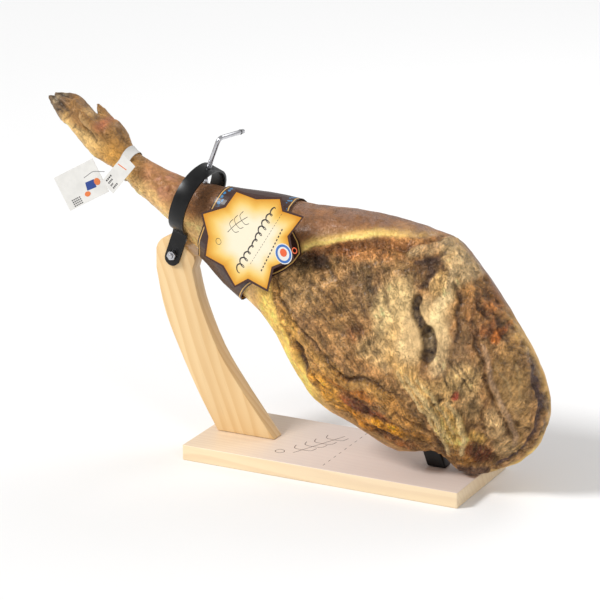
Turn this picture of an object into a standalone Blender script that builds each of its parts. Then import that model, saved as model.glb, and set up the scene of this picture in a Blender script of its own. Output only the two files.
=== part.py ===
"""A whole cured ham with its hoof on, clamped in a pine ham stand.

Metres, +Z up. The origin is the middle of the base board's underside: +X runs along the board towards
the thick end of the ham, and the cut flesh face of the ham looks along -Y.
"""

from math import atan2, copysign, cos, hypot, pi, radians, sin, sqrt

import bmesh
import bpy
from mathutils import Matrix, Vector

# Stand
BASE_LENGTH = 0.370
BASE_WIDTH = 0.151
BASE_THICKNESS = 0.020
GAP = 0.0003  # left between pieces that touch
POST_THICKNESS = 0.022
WOOD_ROUNDING = 0.0015
SUPPORT_LEFT = 0.1160
SUPPORT_RIGHT = 0.1405
SUPPORT_DEPTH = 0.020
SUPPORT_TOP = 0.0445
SUPPORT_LEAN = 0.0085  # how far its top stands to the left of its foot

# Clamp, in a frame of its own: z up the screw, y across the stand, origin on the pivot bolt
PIVOT = (-0.2284, 0.0, 0.2424)
CLAMP_LEAN = radians(21.0)
CLAMP_TWIST = radians(1.5)  # the near leg leans this much less, and the far leg this much more
STRAP_WIDTH = 0.0205
STRAP_THICKNESS = 0.003
LEG_Y = POST_THICKNESS / 2 + GAP + STRAP_THICKNESS / 2
LEG_END = -0.0045
HOOP_CENTRE = 0.0762
HOOP_RADIUS = 0.0443
NECK_RADIUS = 0.008
BOLT_RADIUS = 0.0029
BOLT_HOLE_RADIUS = 0.0033
BOLT_HEAD = 0.004
BOLT_END = 0.0022  # how far the bolt stands out of its nut
NUT_WIDTH = 0.0105
NUT_HEIGHT = 0.0055
SCREW_RADIUS = 0.0029
SCREW_HOLE_RADIUS = 0.0034
FOOT_BASE = 0.1018
FOOT_HEIGHT = 0.005
FOOT_RADII = (0.0060, 0.0036)  # of its pressing face and of its top
CRANK_HEIGHT = 0.1625
CRANK_LENGTH = 0.0525
CRANK_BEND = 0.006
CRANK_TURN = radians(83)

# Ham
RING_POINTS = 40
RINGS_PER_SECTION = 2
HEIGHT_POWER = 2.15
FLESH_POWER = 2.7
SKIN_POWER = 2.1

# Each section is a flat slice of the ham: its top and bottom points (x, z), how far it reaches towards
# the flesh side and the skin side, the y of its top and bottom points, and how much its foot is pinched.
SECTIONS = [
    (-0.3680, 0.4240, -0.3800, 0.3905, 0.0180, 0.0180, 0.000, 0.000, 0.00),
    (-0.3560, 0.4125, -0.3650, 0.3755, 0.0210, 0.0210, 0.000, 0.000, 0.00),
    (-0.3430, 0.4020, -0.3505, 0.3615, 0.0230, 0.0230, 0.000, 0.000, 0.00),
    (-0.3270, 0.4015, -0.3385, 0.3520, 0.0245, 0.0245, 0.000, 0.000, 0.00),
    (-0.3140, 0.3985, -0.3275, 0.3470, 0.0240, 0.0240, 0.000, 0.000, 0.00),
    (-0.3035, 0.3860, -0.3150, 0.3415, 0.0210, 0.0210, 0.000, 0.000, 0.00),
    (-0.2940, 0.3670, -0.3050, 0.3330, 0.0185, 0.0185, 0.000, 0.000, 0.00),
    (-0.2780, 0.3575, -0.2905, 0.3230, 0.0185, 0.0185, 0.000, 0.000, 0.00),
    (-0.2610, 0.3500, -0.2760, 0.3110, 0.0205, 0.0205, 0.000, 0.000, 0.00),
    (-0.2405, 0.3430, -0.2590, 0.2970, 0.0230, 0.0230, 0.000, 0.000, 0.25),
    (-0.2165, 0.3370, -0.2375, 0.2795, 0.0255, 0.0255, 0.000, 0.000, 0.65),
    (-0.1880, 0.3350, -0.2110, 0.2585, 0.0275, 0.0275, 0.000, 0.000, 0.68),
    (-0.1600, 0.3325, -0.1840, 0.2405, 0.0305, 0.0305, 0.000, 0.000, 0.35),
    (-0.1340, 0.3310, -0.1580, 0.2195, 0.0350, 0.0370, 0.002, -0.002, 0.20),
    (-0.1080, 0.3300, -0.1300, 0.2030, 0.0400, 0.0440, 0.005, -0.004, 0.10),
    (-0.0800, 0.3270, -0.1010, 0.1850, 0.0460, 0.0510, 0.008, -0.007, 0.00),
    (-0.0450, 0.3220, -0.0765, 0.1615, 0.0520, 0.0590, 0.010, -0.010, 0.00),
    (-0.0050, 0.3235, -0.0590, 0.1355, 0.0560, 0.0650, 0.012, -0.014, 0.00),
    (0.0400, 0.3210, -0.0400, 0.1115, 0.0590, 0.0710, 0.012, -0.017, 0.00),
    (0.0800, 0.3155, -0.0200, 0.0905, 0.0610, 0.0750, 0.012, -0.020, 0.00),
    (0.1160, 0.3085, 0.0070, 0.0775, 0.0620, 0.0780, 0.012, -0.022, 0.00),
    (0.1415, 0.3000, 0.0350, 0.0665, 0.0620, 0.0790, 0.012, -0.022, 0.00),
    (0.1665, 0.2735, 0.0630, 0.0530, 0.0610, 0.0780, 0.011, -0.022, 0.00),
    (0.1910, 0.2440, 0.0910, 0.0425, 0.0580, 0.0750, 0.010, -0.020, 0.00),
    (0.2150, 0.2120, 0.1180, 0.0475, 0.0540, 0.0710, 0.009, -0.016, 0.00),
    (0.2350, 0.1820, 0.1420, 0.0430, 0.0490, 0.0650, 0.007, -0.010, 0.00),
    (0.2520, 0.1525, 0.1570, 0.0270, 0.0420, 0.0560, 0.005, -0.004, 0.00),
    (0.2630, 0.1250, 0.1730, 0.0206, 0.0340, 0.0460, 0.003, 0.000, 0.00),
    (0.2635, 0.0960, 0.1930, 0.0240, 0.0250, 0.0340, 0.001, 0.000, 0.00),
    (0.2550, 0.0700, 0.2170, 0.0350, 0.0140, 0.0190, 0.000, 0.000, 0.00),
    (0.2450, 0.0570, 0.2330, 0.0450, 0.0050, 0.0060, 0.000, 0.000, 0.00),
]

# Broad hollows (+) and swellings (-) of the flesh face: centre (x, z), radii along x and z, depth
FLESH_RELIEF = [
    (0.004, 0.262, 0.022, 0.016, 0.0080),
    (0.150, 0.150, 0.045, 0.040, -0.0060),
    (0.060, 0.190, 0.060, 0.050, 0.0035),
    (0.020, 0.110, 0.045, 0.025, -0.0040),
    (0.195, 0.105, 0.022, 0.055, 0.0030),
]

# One toe of the hoof, as sections like the ham's: top and bottom (x, z) and half its width
TOE_SECTIONS = [
    (-0.3550, 0.4060, -0.3640, 0.3840, 0.0075),
    (-0.3700, 0.4225, -0.3820, 0.3915, 0.0098),
    (-0.3830, 0.4252, -0.3895, 0.3990, 0.0088),
    (-0.3930, 0.4260, -0.3965, 0.4080, 0.0066),
    (-0.4010, 0.4256, -0.4030, 0.4165, 0.0040),
    (-0.4060, 0.4245, -0.4065, 0.4215, 0.0014),
]
TOE_Y = (0.0100, 0.0080)  # at its root and at its tip
TOE_RING_POINTS = 16

DEW_CLAW_ROOT = (-0.3215, 0.0150, 0.3800)
DEW_CLAW_TIP = (-0.3505, 0.0215, 0.4105)
DEW_CLAW_RADIUS = 0.0100

# Paper goods
CARD = 0.0006
SLEEVE_STANDOFF = 0.0016
SLEEVE_SAG = 0.0035  # how much further the card hangs clear of the underside
SLEEVE_RING_POINTS = 40
SLEEVE_STEPS = 5
STAR_CENTRE = (-0.0956, -0.0586, 0.2883)
STAR_YAW = radians(-9.5)
STAR_POINTS = [  # radius in mm and angle in degrees, tip and notch by turns
    (66, 111), (58, 83), (77, 55), (68, 45), (89, 30), (59, 17), (64, -10), (43, -41),
    (63, -68), (51, -97), (68, -113), (60, -139), (79, -157), (69, -176), (80, 163), (57, 137),
]
BAND_WIDTH = 0.011
BAND_STANDOFF = 0.0012


def clear_scene():
    for obj in list(bpy.data.objects):
        bpy.data.objects.remove(obj, do_unlink=True)


def new_collection(name, hidden=False):
    collection = bpy.data.collections.new(name)
    bpy.context.scene.collection.children.link(collection)
    collection.hide_render = hidden
    return collection


def new_material(name, colour, roughness, metallic=0.0):
    material = bpy.data.materials.new(name)
    material.use_nodes = True
    shader = material.node_tree.nodes["Principled BSDF"]
    shader.inputs["Base Color"].default_value = (*colour, 1.0)
    shader.inputs["Roughness"].default_value = roughness
    shader.inputs["Metallic"].default_value = metallic
    return material


def add_object(name, mesh, collection, material=None, parent=None):
    obj = bpy.data.objects.new(name, mesh)
    collection.objects.link(obj)
    obj.parent = parent
    if material:
        mesh.materials.append(material)
    mesh.shade_smooth()
    mesh.set_sharp_from_angle(angle=radians(35))
    return obj


def mesh_of(bm, name):
    bmesh.ops.recalc_face_normals(bm, faces=bm.faces)
    mesh = bpy.data.meshes.new(name)
    bm.to_mesh(mesh)
    bm.free()
    return mesh


def add_bevel(obj, width, segments=2, angle=radians(40)):
    bevel = obj.modifiers.new("rounded_edges", "BEVEL")
    bevel.width = width
    bevel.segments = segments
    bevel.limit_method = "ANGLE"
    bevel.angle_limit = angle


def add_boolean(obj, other, operation):
    boolean = obj.modifiers.new(other.name, "BOOLEAN")
    boolean.operation = operation
    boolean.solver = "EXACT"
    boolean.object = other


def as_cutter(obj, cutters):
    for collection in list(obj.users_collection):
        collection.objects.unlink(obj)
    cutters.objects.link(obj)
    obj.hide_render = True
    obj.display_type = "WIRE"
    return obj


def cylinder_mesh(name, radius, height, matrix=Matrix(), segments=24, top_radius=None):
    """A cylinder or cone about z, its bottom at z = 0, then placed by the matrix."""
    bm = bmesh.new()
    bmesh.ops.create_cone(
        bm,
        cap_ends=True,
        segments=segments,
        radius1=radius,
        radius2=radius if top_radius is None else top_radius,
        depth=height,
        matrix=matrix @ Matrix.Translation((0, 0, height / 2)),
    )
    return mesh_of(bm, name)


def prism_mesh(name, outline, thickness):
    """A flat outline in the XZ plane, given a thickness evenly about y = 0."""
    bm = bmesh.new()
    face = bm.faces.new([bm.verts.new((x, -thickness / 2, z)) for x, z in outline])
    extruded = bmesh.ops.extrude_face_region(bm, geom=[face])["geom"]
    moved = [item for item in extruded if isinstance(item, bmesh.types.BMVert)]
    bmesh.ops.translate(bm, verts=moved, vec=(0, thickness, 0))
    return mesh_of(bm, name)


def loft_mesh(name, rings):
    """A closed solid through rings of points, with its first and last rings filled in."""
    bm = bmesh.new()
    made = [[bm.verts.new(point) for point in ring] for ring in rings]
    count = len(rings[0])
    for ring, following in zip(made, made[1:]):
        for i in range(count):
            j = (i + 1) % count
            bm.faces.new((ring[i], ring[j], following[j], following[i]))
    bm.faces.new(made[0])
    bm.faces.new(made[-1])
    return mesh_of(bm, name)


def smooth_row(rows, at):
    """The values between rows at a fractional index, on a Catmull-Rom curve through every row."""
    last = len(rows) - 1
    index = min(int(at), last - 1)
    share = at - index
    a, b, c, d = (rows[min(max(index + k, 0), last)] for k in (-1, 0, 1, 2))
    return [
        q + 0.5 * share * (r - p + share * (2 * p - 5 * q + 4 * r - s + share * (3 * (q - r) + s - p)))
        for p, q, r, s in zip(a, b, c, d)
    ]


def signed_power(value, power):
    return copysign(abs(value) ** power, value)


def smooth_step(value):
    value = min(max(value, 0.0), 1.0)
    return value * value * (3 - 2 * value)


def flesh_relief(x, z):
    """How far the flesh face is pushed in at (x, z)."""
    return sum(
        depth * 2.718 ** -(((x - cx) / rx) ** 2 + ((z - cz) / rz) ** 2)
        for cx, cz, rx, rz, depth in FLESH_RELIEF
    )


def ham_point(at, angle, grow=0.0):
    """A point on the skin at a fractional section index; angle 0 is the top, and 90 degrees the skin side."""
    tx, tz, bx, bz, flesh, skin, top_y, bottom_y, pinch = smooth_row(SECTIONS, at)
    half_x, half_z = (tx - bx) / 2, (tz - bz) / 2
    half = hypot(half_x, half_z)
    up = signed_power(cos(angle), 2 / HEIGHT_POWER)
    side = sin(angle)
    reach = skin if side > 0 else flesh
    power = SKIN_POWER if side > 0 else FLESH_POWER
    pinching = 1 - pinch * smooth_step((-up - 0.35) / 0.5)
    x = (tx + bx) / 2 + up * half_x * (1 + grow / half)
    z = (tz + bz) / 2 + up * half_z * (1 + grow / half)
    y = bottom_y + (top_y - bottom_y) * (up + 1) / 2
    y += signed_power(side, 2 / power) * (reach * pinching + grow)
    if side < 0:
        y += flesh_relief(x, z) * min(1.0, -side * 1.3)
    return Vector((x, y, z))


def ring_angles(count):
    return [2 * pi * i / count for i in range(count)]


def make_ham(collection, cutters, material):
    """The ham, with its two toes and two dew claws joined to it."""
    steps = (len(SECTIONS) - 1) * RINGS_PER_SECTION
    rings = [
        [ham_point(i / RINGS_PER_SECTION, angle) for angle in ring_angles(RING_POINTS)]
        for i in range(steps + 1)
    ]
    ham = add_object("ham", loft_mesh("ham", rings), collection, material)
    for side in (-1, 1):
        toe = as_cutter(add_object(f"toe_{side}", toe_mesh(side), collection), cutters)
        add_boolean(ham, toe, "UNION")
        claw = as_cutter(add_object(f"dew_claw_{side}", dew_claw_mesh(side), collection), cutters)
        add_boolean(ham, claw, "UNION")
    return ham


def toe_mesh(side):
    rings = []
    steps = (len(TOE_SECTIONS) - 1) * 2
    for i in range(steps + 1):
        tx, tz, bx, bz, half_width = smooth_row(TOE_SECTIONS, i / 2)
        middle_y = side * (TOE_Y[0] + (TOE_Y[1] - TOE_Y[0]) * i / steps)
        rings.append(
            [
                (
                    (tx + bx) / 2 + cos(a) * (tx - bx) / 2,
                    middle_y + half_width * sin(a),
                    (tz + bz) / 2 + cos(a) * (tz - bz) / 2,
                )
                for a in ring_angles(TOE_RING_POINTS)
            ]
        )
    return loft_mesh("toe", rings)


def dew_claw_mesh(side):
    root = Vector(DEW_CLAW_ROOT) * Vector((1, side, 1))
    tip = Vector(DEW_CLAW_TIP) * Vector((1, side, 1))
    along = tip - root
    matrix = Matrix.Translation(root) @ along.to_track_quat("Z", "Y").to_matrix().to_4x4()
    return cylinder_mesh("dew_claw", DEW_CLAW_RADIUS, along.length, matrix, 16, 0.0012)


def make_base(collection, material):
    bm = bmesh.new()
    size = Matrix.Diagonal((BASE_LENGTH, BASE_WIDTH, BASE_THICKNESS, 1))
    bmesh.ops.create_cube(bm, size=1, matrix=Matrix.Translation((0, 0, BASE_THICKNESS / 2)) @ size)
    board = add_object("base_board", mesh_of(bm, "base_board"), collection, material)
    add_bevel(board, WOOD_ROUNDING, 3)
    return board


def arc(centre, radius, start, end, count):
    """Points (x, z) on an arc, its angles in degrees from +x towards +z."""
    angles = [radians(start + (end - start) * i / (count - 1)) for i in range(count)]
    return [(centre[0] + radius * cos(a), centre[1] + radius * sin(a)) for a in angles]


def curved_edge(points, count):
    """Points (x, z) along a smooth curve through the given ones."""
    span = len(points) - 1
    return [tuple(smooth_row(points, span * i / count)) for i in range(count + 1)]


def make_post(collection, cutters, material, clamp_frame):
    """The curved upright: bowed edges, a rounded head, and a seat cut to the ham's underside."""
    foot_z = BASE_THICKNESS + GAP
    outer = curved_edge(
        [(-0.1700, foot_z), (-0.1960, 0.065), (-0.2230, 0.120), (-0.2435, 0.170), (-0.2545, 0.222)], 14
    )
    head = arc((-0.2325, 0.2425), 0.0222, 168, 72, 9)
    seat = [(-0.2225, 0.2608), (-0.2010, 0.2425), (-0.1995, 0.2365)]
    inner = curved_edge(
        [(-0.2035, 0.2245), (-0.1930, 0.1830), (-0.1690, 0.1275), (-0.1375, 0.0810), (-0.0905, foot_z)], 14
    )
    mesh = prism_mesh("post", outer + head + seat + inner, POST_THICKNESS)
    post = add_object("post", mesh, collection, material)
    add_bevel(post, WOOD_ROUNDING, 2, radians(60))
    add_boolean(post, bolt_cutter("post_bore", cutters, clamp_frame, POST_THICKNESS), "DIFFERENCE")
    return post


def bolt_cutter(name, cutters, clamp_frame, length):
    """A cutter along y through the pivot, a little longer than what it cuts."""
    length = length * 1.5
    matrix = Matrix.Rotation(-pi / 2, 4, "X") @ Matrix.Translation((0, 0, -length / 2))
    mesh = cylinder_mesh(name, BOLT_HOLE_RADIUS, length, matrix)
    obj = add_object(name, mesh, cutters, parent=clamp_frame)
    return as_cutter(obj, cutters)


def strap_path():
    """The strap's middle line as (y, z): up the far leg, round the hoop, and down the near leg."""
    neck_y = LEG_Y + NECK_RADIUS
    neck_z = HOOP_CENTRE - sqrt((HOOP_RADIUS + NECK_RADIUS) ** 2 - neck_y**2)
    turn = atan2(HOOP_CENTRE - neck_z, neck_y)
    leg_z = [LEG_END - STRAP_WIDTH / 2 * cos(radians(a)) for a in (0.5, 12, 25, 38, 52, 70, 90)]
    leg = [(LEG_Y, z) for z in leg_z] + [(LEG_Y, neck_z * 0.6)]
    neck = [
        (neck_y - NECK_RADIUS * cos(turn * i / 5), neck_z + NECK_RADIUS * sin(turn * i / 5))
        for i in range(6)
    ]
    hoop_start = -turn
    quarter = 16
    hoop = [
        (
            HOOP_RADIUS * cos(hoop_start + (pi / 2 - hoop_start) * i / quarter),
            HOOP_CENTRE + HOOP_RADIUS * sin(hoop_start + (pi / 2 - hoop_start) * i / quarter),
        )
        for i in range(1, quarter + 1)
    ]
    far_half = leg + neck + hoop
    return far_half + [(-y, z) for y, z in reversed(far_half[:-1])]


def strap_twist(y, z):
    """How far the strap is turned about the pivot: one way up the near leg and side, the other way beyond."""
    share = 1.0 if z < HOOP_CENTRE else abs(y) / HOOP_RADIUS
    return Matrix.Rotation(copysign(CLAMP_TWIST * smooth_step(share), y), 3, "Y")


def make_hoop(collection, cutters, material, clamp_frame):
    """The flat steel strap, a ribbon given its thickness, with round leg ends and three holes."""
    bm = bmesh.new()
    rows = []
    for y, z in strap_path():
        below = LEG_END - z
        half = STRAP_WIDTH / 2 if below <= 0 else sqrt((STRAP_WIDTH / 2) ** 2 - below**2)
        twist = strap_twist(y, z)
        rows.append([bm.verts.new(twist @ Vector((x, y, z))) for x in (-half, 0, half)])
    for row, following in zip(rows, rows[1:]):
        for i in range(2):
            bm.faces.new((row[i], row[i + 1], following[i + 1], following[i]))
    hoop = add_object("clamp_hoop", mesh_of(bm, "clamp_hoop"), collection, material, clamp_frame)
    wall = hoop.modifiers.new("wall", "SOLIDIFY")
    wall.thickness = STRAP_THICKNESS
    wall.offset = 0
    add_boolean(hoop, bolt_cutter("leg_bores", cutters, clamp_frame, 4 * LEG_Y), "DIFFERENCE")
    crown = Matrix.Translation((0, 0, HOOP_CENTRE + HOOP_RADIUS - 0.01))
    hole = cylinder_mesh("screw_hole", SCREW_HOLE_RADIUS, 0.02, crown)
    hole = as_cutter(add_object("screw_hole", hole, cutters, parent=clamp_frame), cutters)
    add_boolean(hoop, hole, "DIFFERENCE")
    return hoop


def make_bolt_and_nut(collection, cutters, material, clamp_frame):
    """The pivot bolt through both legs and the post, its head behind and its nut in front."""
    face = LEG_Y + STRAP_THICKNESS / 2 + GAP
    hex_radius = NUT_WIDTH / 2 / cos(pi / 6)
    back = Matrix.Translation((0, face, 0)) @ Matrix.Rotation(-pi / 2, 4, "X")
    head_height = BOLT_HEAD
    head = cylinder_mesh("pivot_bolt", hex_radius, head_height, back, 6)
    bolt = add_object("pivot_bolt", head, collection, material, clamp_frame)
    length = 2 * face + NUT_HEIGHT + BOLT_END
    shank_place = Matrix.Translation((0, face + head_height / 2, 0)) @ Matrix.Rotation(pi / 2, 4, "X")
    shank = cylinder_mesh("bolt_shank", BOLT_RADIUS, length + head_height / 2, shank_place)
    shank = as_cutter(add_object("bolt_shank", shank, cutters, parent=clamp_frame), cutters)
    add_boolean(bolt, shank, "UNION")
    front = Matrix.Translation((0, -face, 0)) @ Matrix.Rotation(pi / 2, 4, "X")
    body = cylinder_mesh("pivot_nut", hex_radius, NUT_HEIGHT, front, 6)
    nut = add_object("pivot_nut", body, collection, material, clamp_frame)
    add_boolean(nut, bolt_cutter("nut_bore", cutters, clamp_frame, 3 * face), "DIFFERENCE")


def make_screw(collection, material, clamp_frame):
    """The clamp screw, one rod bent into a crank, and the loose foot that it turns in."""
    place = Matrix.Translation((0, 0, FOOT_BASE))
    foot = cylinder_mesh("clamp_foot", FOOT_RADII[0], FOOT_HEIGHT, place, 24, FOOT_RADII[1])
    add_object("clamp_foot", foot, collection, material, clamp_frame)
    out = Vector((cos(CRANK_TURN), sin(CRANK_TURN), 0))
    bend_centre = out * CRANK_BEND + Vector((0, 0, CRANK_HEIGHT - CRANK_BEND))
    points = [Vector((0, 0, FOOT_BASE + FOOT_HEIGHT + GAP))]
    for i in range(9):
        angle = pi / 2 * i / 8
        points.append(bend_centre - out * CRANK_BEND * cos(angle) + Vector((0, 0, CRANK_BEND * sin(angle))))
    points.append(out * CRANK_LENGTH + Vector((0, 0, CRANK_HEIGHT)))
    curve = bpy.data.curves.new("clamp_screw", "CURVE")
    curve.dimensions = "3D"
    curve.bevel_depth = SCREW_RADIUS
    curve.bevel_resolution = 4
    curve.use_fill_caps = True
    curve.materials.append(material)
    spline = curve.splines.new("POLY")
    spline.points.add(len(points) - 1)
    for point, place in zip(spline.points, points):
        point.co = (*place, 1)
    screw = bpy.data.objects.new("clamp_screw", curve)
    screw.parent = clamp_frame
    collection.objects.link(screw)


def make_support(collection, material):
    """The leaning black block on the board that props the underside of the ham."""
    bm = bmesh.new()
    bmesh.ops.create_cube(bm, size=1)
    for vert in bm.verts:
        high = vert.co.z > 0
        vert.co.x = SUPPORT_RIGHT if vert.co.x > 0 else SUPPORT_LEFT
        vert.co.x -= SUPPORT_LEAN if high else 0.0
        vert.co.y *= SUPPORT_DEPTH
        vert.co.z = SUPPORT_TOP if high else BASE_THICKNESS + GAP
    block = add_object("ham_support", mesh_of(bm, "ham_support"), collection, material)
    add_bevel(block, 0.003, 3)


def sleeve_edges(angle):
    """Where the card sleeve starts and ends, as section indexes, at one angle round the shank."""
    up = cos(angle)
    start = 11.8 + 0.2 * up
    tab = 2.718 ** -(((up - 0.42) / (0.35 if up > 0.42 else 0.62)) ** 2)
    end = 14.65 + 0.65 * up + 1.6 * tab * (1 if sin(angle) < 0 else 0.5)
    return start, end


def make_sleeve(collection, material):
    """The dark card wrapped round the shank, wider at the flesh side where it ends in a round tab."""
    bm = bmesh.new()
    columns = []
    for angle in ring_angles(SLEEVE_RING_POINTS):
        start, end = sleeve_edges(angle)
        clear = SLEEVE_STANDOFF + SLEEVE_SAG * smooth_step(-cos(angle))
        columns.append(
            [
                bm.verts.new(ham_point(start + (end - start) * i / SLEEVE_STEPS, angle, clear))
                for i in range(SLEEVE_STEPS + 1)
            ]
        )
    for i, column in enumerate(columns):
        following = columns[(i + 1) % len(columns)]
        for j in range(SLEEVE_STEPS):
            bm.faces.new((column[j], column[j + 1], following[j + 1], following[j]))
    add_walled("label_sleeve", bm, collection, material)


def add_walled(name, bm, collection, material):
    """An open card surface, with its faces out, given a card's thickness on its outer side."""
    obj = add_object(name, mesh_of(bm, name), collection, material)
    wall = obj.modifiers.new("wall", "SOLIDIFY")
    wall.thickness = CARD
    wall.offset = 1
    return obj


def make_star(collection, material):
    outline = [(r / 1000 * cos(radians(a)), r / 1000 * sin(radians(a))) for r, a in STAR_POINTS]
    star = add_object("star_label", prism_mesh("star_label", outline, CARD), collection, material)
    star.location = STAR_CENTRE
    star.rotation_euler = (0, 0, STAR_YAW)


def make_band(collection, material):
    """The strip round the ankle that the two tags hang from."""
    middle, reach = 6.25, 0.34
    bm = bmesh.new()
    rings = []
    for i in range(3):
        at = middle + reach * (i - 1)
        rings.append([bm.verts.new(ham_point(at, a, BAND_STANDOFF)) for a in ring_angles(RING_POINTS)])
    for ring, following in zip(rings, rings[1:]):
        for i in range(RING_POINTS):
            j = (i + 1) % RING_POINTS
            bm.faces.new((ring[i], ring[j], following[j], following[i]))
    add_walled("ankle_band", bm, collection, material)


def make_tag(name, collection, material, corner, angle, length, width, y):
    """A card tag: one corner (x, z), the way its length runs in degrees, and its sizes."""
    along = Vector((cos(radians(angle)), sin(radians(angle))))
    across = Vector((-along.y, along.x))
    start = Vector(corner)
    outline = [start, start + along * length, start + along * length + across * width, start + across * width]
    tag = add_object(name, prism_mesh(name, [tuple(p) for p in outline], CARD), collection, material)
    tag.location.y = y


def main():
    clear_scene()
    parts = new_collection("ham_in_stand")
    cutters = new_collection("cutters", hidden=True)
    pine = new_material("pine", (0.83, 0.62, 0.36), 0.45)
    black = new_material("black_enamel", (0.02, 0.02, 0.022), 0.38)
    steel = new_material("bright_steel", (0.75, 0.75, 0.76), 0.2, 1.0)
    cured = new_material("cured_ham", (0.52, 0.31, 0.13), 0.5)
    dark_card = new_material("dark_card", (0.05, 0.03, 0.03), 0.5)
    gold_card = new_material("gold_card", (0.85, 0.66, 0.25), 0.5)
    white_card = new_material("white_card", (0.85, 0.85, 0.83), 0.6)

    clamp_frame = bpy.data.objects.new("clamp_frame", None)
    parts.objects.link(clamp_frame)
    clamp_frame.location = PIVOT
    clamp_frame.rotation_euler = (0, CLAMP_LEAN, 0)

    make_base(parts, pine)
    make_post(parts, cutters, pine, clamp_frame)
    make_support(parts, black)
    make_hoop(parts, cutters, black, clamp_frame)
    make_bolt_and_nut(parts, cutters, steel, clamp_frame)
    make_screw(parts, steel, clamp_frame)
    make_ham(parts, cutters, cured)
    make_sleeve(parts, dark_card)
    make_star(parts, gold_card)
    make_band(parts, white_card)
    make_tag("small_tag", parts, white_card, (-0.3190, 0.3290), 50, 0.050, -0.021, -0.0300)
    make_tag("large_tag", parts, white_card, (-0.3690, 0.2830), 29.5, 0.065, 0.046, -0.0235)


main()
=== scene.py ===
"""The looks of a whole cured ham with its hoof on, held in its pine ham stand.

Metres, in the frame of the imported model: +X along the board towards the thick end of the ham, the cut
flesh face looking along -Y, and +Z up. Every piece is made here in place and rides on a CAD body.
"""

from math import cos, pi, radians, sin

import bpy
import numpy as np
from bpy.props import FloatProperty, FloatVectorProperty, IntProperty, PointerProperty
from mathutils import Matrix, Vector, noise


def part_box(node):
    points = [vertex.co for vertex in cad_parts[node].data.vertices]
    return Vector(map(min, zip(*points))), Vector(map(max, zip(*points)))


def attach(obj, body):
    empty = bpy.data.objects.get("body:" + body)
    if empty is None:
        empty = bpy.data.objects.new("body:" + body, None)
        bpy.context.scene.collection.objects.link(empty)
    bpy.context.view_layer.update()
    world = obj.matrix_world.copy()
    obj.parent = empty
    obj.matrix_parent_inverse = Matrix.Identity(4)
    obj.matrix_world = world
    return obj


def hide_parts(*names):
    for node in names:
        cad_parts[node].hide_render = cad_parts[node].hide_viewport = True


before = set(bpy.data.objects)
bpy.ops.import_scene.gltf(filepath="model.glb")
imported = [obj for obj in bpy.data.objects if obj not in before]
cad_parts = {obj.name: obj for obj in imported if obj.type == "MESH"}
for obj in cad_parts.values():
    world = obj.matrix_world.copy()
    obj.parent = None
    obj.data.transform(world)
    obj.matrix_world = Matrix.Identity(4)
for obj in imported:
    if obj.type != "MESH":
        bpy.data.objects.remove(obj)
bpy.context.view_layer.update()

bl_info = {
    "name": "Cured ham in its stand",
    "version": (1, 0, 0),
    "blender": (4, 5, 0),
    "location": "View3D > Sidebar > Ham",
    "description": "Builds the surface, finishes and printed cards of a cured ham clamped in a pine stand",
    "category": "Object",
}

STAND = "stand"
SCREW = "clamp_screw"
FOOT = "clamp_foot"

BOARD_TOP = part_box("base_board")[1].z
PIVOT = Vector((-0.2284, 0.0, 0.2424))
CLAMP_LEAN = radians(21.0)
CLAMP = Matrix.Translation(PIVOT) @ Matrix.Rotation(CLAMP_LEAN, 4, "Y")

STAR_CENTRE = Vector((-0.0956, -0.0586, 0.2883))
STAR_YAW = radians(-9.5)
STAR = Matrix.Translation(STAR_CENTRE) @ Matrix.Rotation(STAR_YAW, 4, "Z") @ Matrix.Rotation(pi / 2, 4, "X")
CARD = 0.0006
SMALL_TAG_Y = -0.0300
LARGE_TAG_Y = -0.0235

# The camera's shift across and up from the line through the frame's origin, and the even light
# that comes from all round.
CAMERA_ACROSS = -0.054
CAMERA_RISE = 0.202
FILL_LIGHT = 0.53


def linear(red, green, blue):
    """A colour given as screen values from 0 to 255, as the linear values that Blender mixes."""
    out = []
    for part in (red, green, blue):
        share = part / 255
        out.append(share / 12.92 if share <= 0.04045 else ((share + 0.055) / 1.055) ** 2.4)
    return tuple(out)


def colour_property(name, description, red, green, blue):
    return FloatVectorProperty(
        name=name,
        description=description,
        default=linear(red, green, blue),
        size=3,
        min=0.0,
        max=1.0,
        subtype="COLOR",
    )


# ---------------------------------------------------------------- settings


class HamFinish(bpy.types.PropertyGroup):
    """Sizes and colours of the cured ham."""

    voxel: FloatProperty(
        name="Surface grain",
        description="Edge length of the fine surface mesh",
        default=0.0021,
        min=0.001,
        unit="LENGTH",
    )
    rim_height: FloatProperty(
        name="Rind lip",
        description="How far the rind's lip stands above the cut flesh",
        default=0.0032,
        unit="LENGTH",
    )
    lump_depth: FloatProperty(
        name="Lumps",
        description="Height of the broad lumps of the flesh face",
        default=0.0040,
        unit="LENGTH",
    )
    crust_depth: FloatProperty(
        name="Crust",
        description="Height of the rough crust of the flesh face",
        default=0.0030,
        unit="LENGTH",
    )
    flesh: colour_property("Flesh", "Dry surface of the lean meat", 150, 112, 72)
    rind: colour_property("Rind", "Brown skin", 158, 108, 70)
    hoof: colour_property("Hoof skin", "Golden skin of the foot", 240, 196, 124)


class WoodFinish(bpy.types.PropertyGroup):
    """Colours and grain of the pine."""

    early: colour_property("Early wood", "Pale wood between the rings", 240, 208, 156)
    late: colour_property("Late wood", "Darker line of each ring", 220, 176, 116)
    ring_spacing: FloatProperty(
        name="Ring spacing", description="Distance between two grain lines", default=0.009, unit="LENGTH"
    )


class MetalFinish(bpy.types.PropertyGroup):
    """Colours of the clamp."""

    enamel: colour_property("Enamel", "Black enamel of the hoop and block", 5, 5, 6)
    steel: colour_property("Steel", "Bright plated steel", 200, 200, 204)
    edge_break: FloatProperty(
        name="Edge", description="Radius of the broken edges", default=0.0004, unit="LENGTH"
    )


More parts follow.
